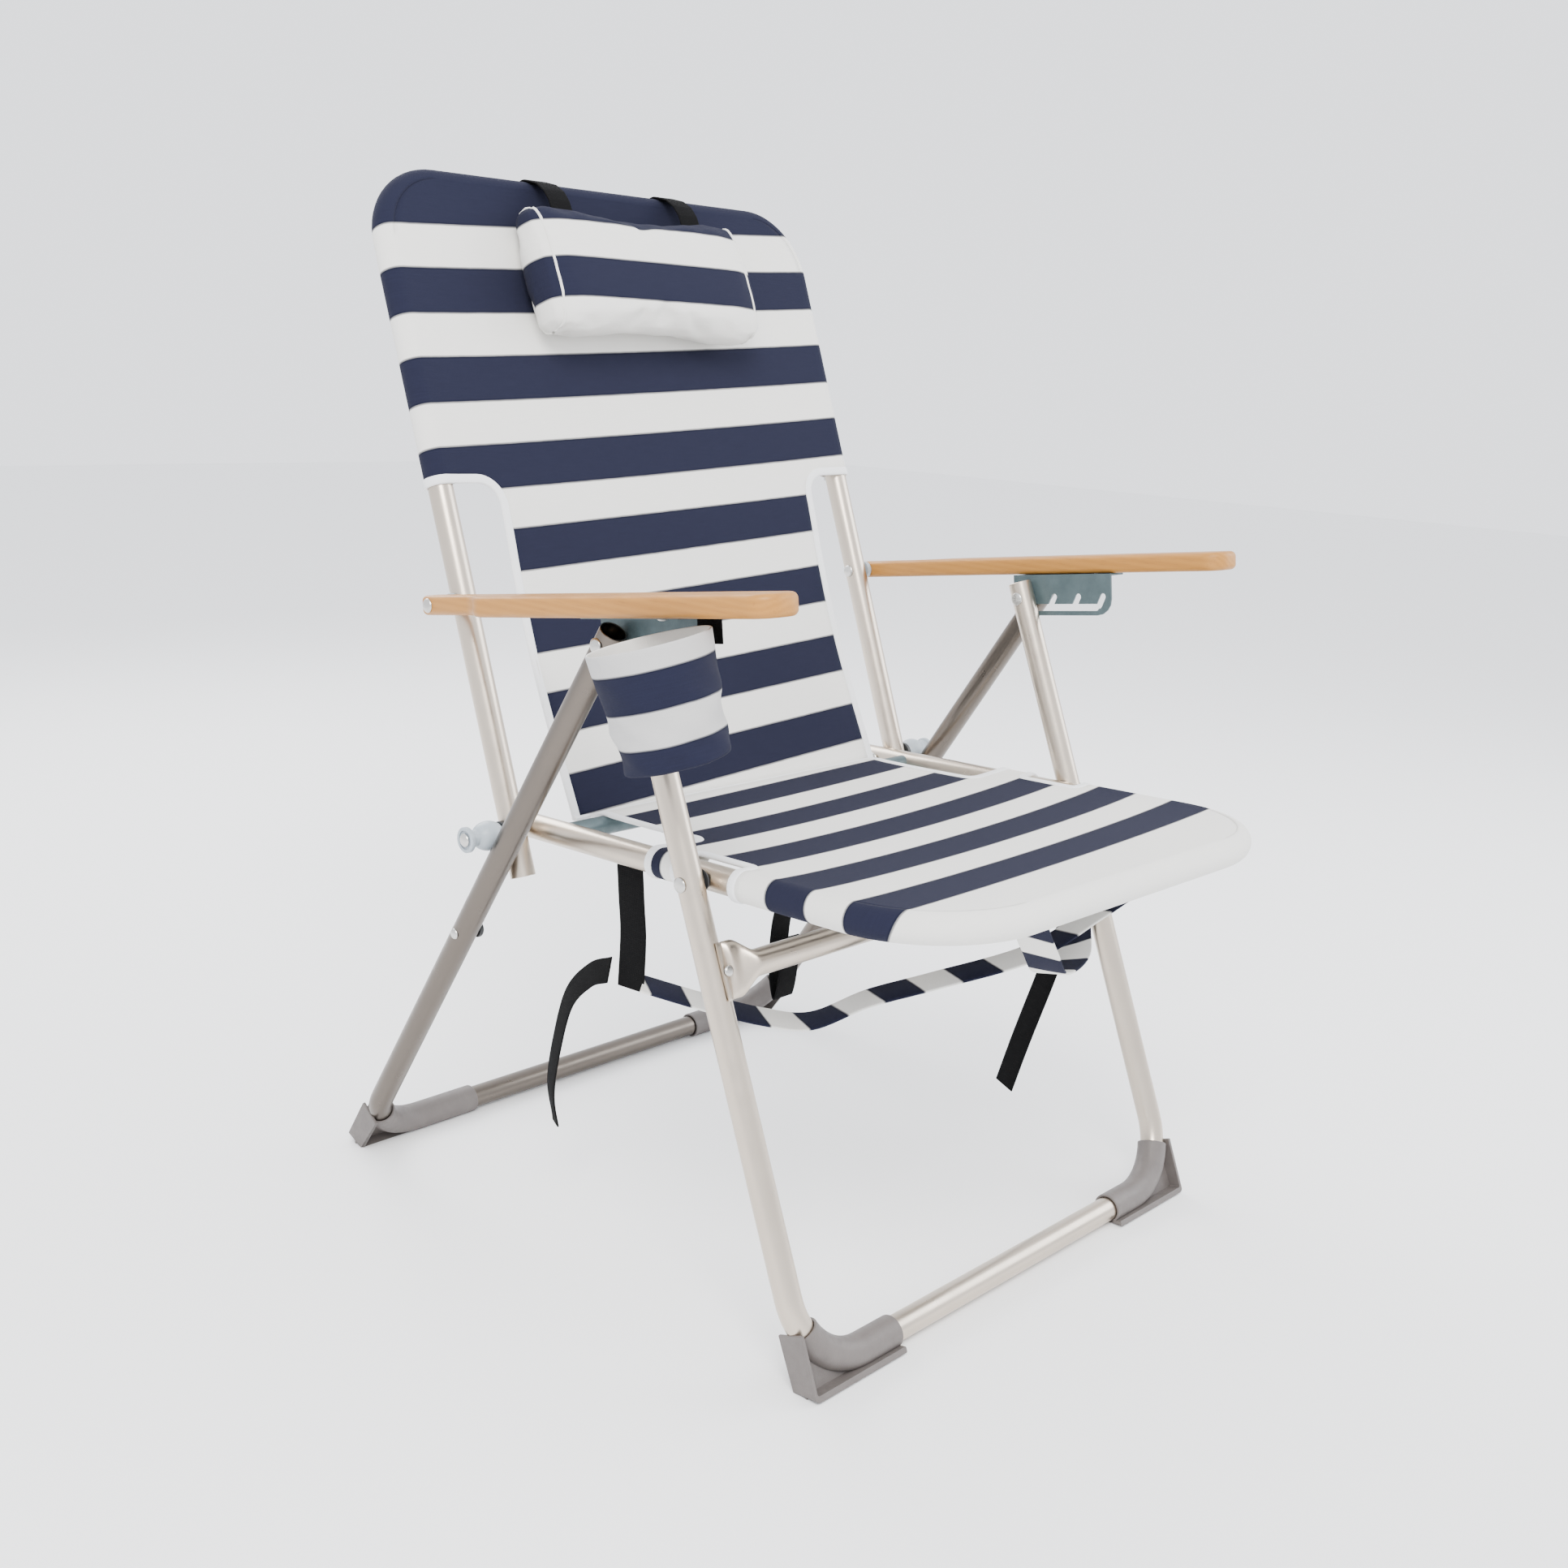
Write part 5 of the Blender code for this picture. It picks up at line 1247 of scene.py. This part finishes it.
# %% Cup holder
CUP_MOUTH, CUP_AXIS = np.array([-.325, .125, .576]) + SHIFT, unit([-.15, .22, .96])
CUP_R, CUP_FOOT, CUP_DEEP, CUP_WALL = 0.0472, 0.0385, 0.092, 0.0019
first = unit(np.cross(CUP_AXIS, [0, 1, 0]))
second = np.cross(CUP_AXIS, first)
angle = np.arange(120) * 2 * math.pi / 120
depth = np.concatenate([np.linspace(0.0915, 0.0885, 4), np.linspace(0.087, 0.0, 44)])
wall_r = np.concatenate([[0.62, 0.86, 0.955, 0.99], np.ones(44)]) * np.interp(
    depth, [0, CUP_DEEP], [CUP_R, CUP_FOOT])
rim = CUP_R - CUP_WALL / 2 + CUP_WALL / 2 * np.cos(np.linspace(0, math.pi, 7)[1:-1])
rim_depth = -CUP_WALL / 2 * np.sin(np.linspace(0, math.pi, 7)[1:-1])
floor_r = [0.0001, 0.3 * CUP_FOOT]
radii = np.concatenate([floor_r, wall_r, rim, wall_r[::-1] - CUP_WALL, floor_r[::-1]])
depths = np.concatenate([[CUP_DEEP] * 2, depth, rim_depth, np.minimum(depth[::-1], CUP_DEEP - CUP_WALL),
                         [CUP_DEEP - CUP_WALL] * 2])
grow = np.clip(depths / CUP_DEEP, 0, 1)[:, None]
folds = (0.0016 * np.sin(3 * angle + 1.2 + 14 * grow) * grow
         + 0.0010 * np.sin(7 * angle - 22 * grow + 0.6) * grow * (1 - 0.4 * grow)
         + 0.0007 * np.sin(2 * angle + 0.4) * (1 - grow)
         - 0.0012 * np.exp(-((grow - 0.55) / 0.05) ** 2) * np.clip(np.sin(2 * angle + 2.1), 0, 1))
radius = radii[:, None] + folds * np.clip(radii[:, None] / CUP_FOOT, 0, 1)
around = np.cos(angle)[None, :, None] * first + np.sin(angle)[None, :, None] * second
points = CUP_MOUTH - depths[:, None, None] * CUP_AXIS + radius[..., None] * around
uv = np.stack(np.broadcast_arrays(angle[None] * 0.043, depths[:, None]), -1)
faces = quads(len(radii), len(angle), round_cols=True)
# The cup's outer cloth carries painted shade in its darkened cream.
cup = piece("cup_holder_sewn", points, faces, CUP_STRIPE_PAINTED_SHADE, "arm_right", ["cup_holder"], "striped_cloth", uv,
            sharp=80)
cup.data.materials.append(CUP_LINING)
centres = np.empty(len(cup.data.polygons) * 3)
normals = np.empty(len(cup.data.polygons) * 3)
cup.data.polygons.foreach_get("center", centres)
cup.data.polygons.foreach_get("normal", normals)
away = centres.reshape(-1, 3) - CUP_MOUTH
down = -(away @ CUP_AXIS)
away = away + down[:, None] * CUP_AXIS
inward = (normals.reshape(-1, 3) * away).sum(-1) < 0
cup.data.polygons.foreach_set("material_index", (inward & (down < 0.0895)).astype(np.int32))
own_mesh(cup)

low, high = box("cup_hanger")
centre = (low + high) / 2
along = (centre - A) @ ARM[1]
drop = np.linspace(-ARM_THICK / 2 - 0.0004, -ARM_THICK / 2 - 0.021, 8)
strap("cup_hanger_woven", place(ARM, centre[0] - MID, along, drop), 0.026, ARM[1], WEBBING, "arm_right",
      "cup_hanger", "webbing", 0.0018)
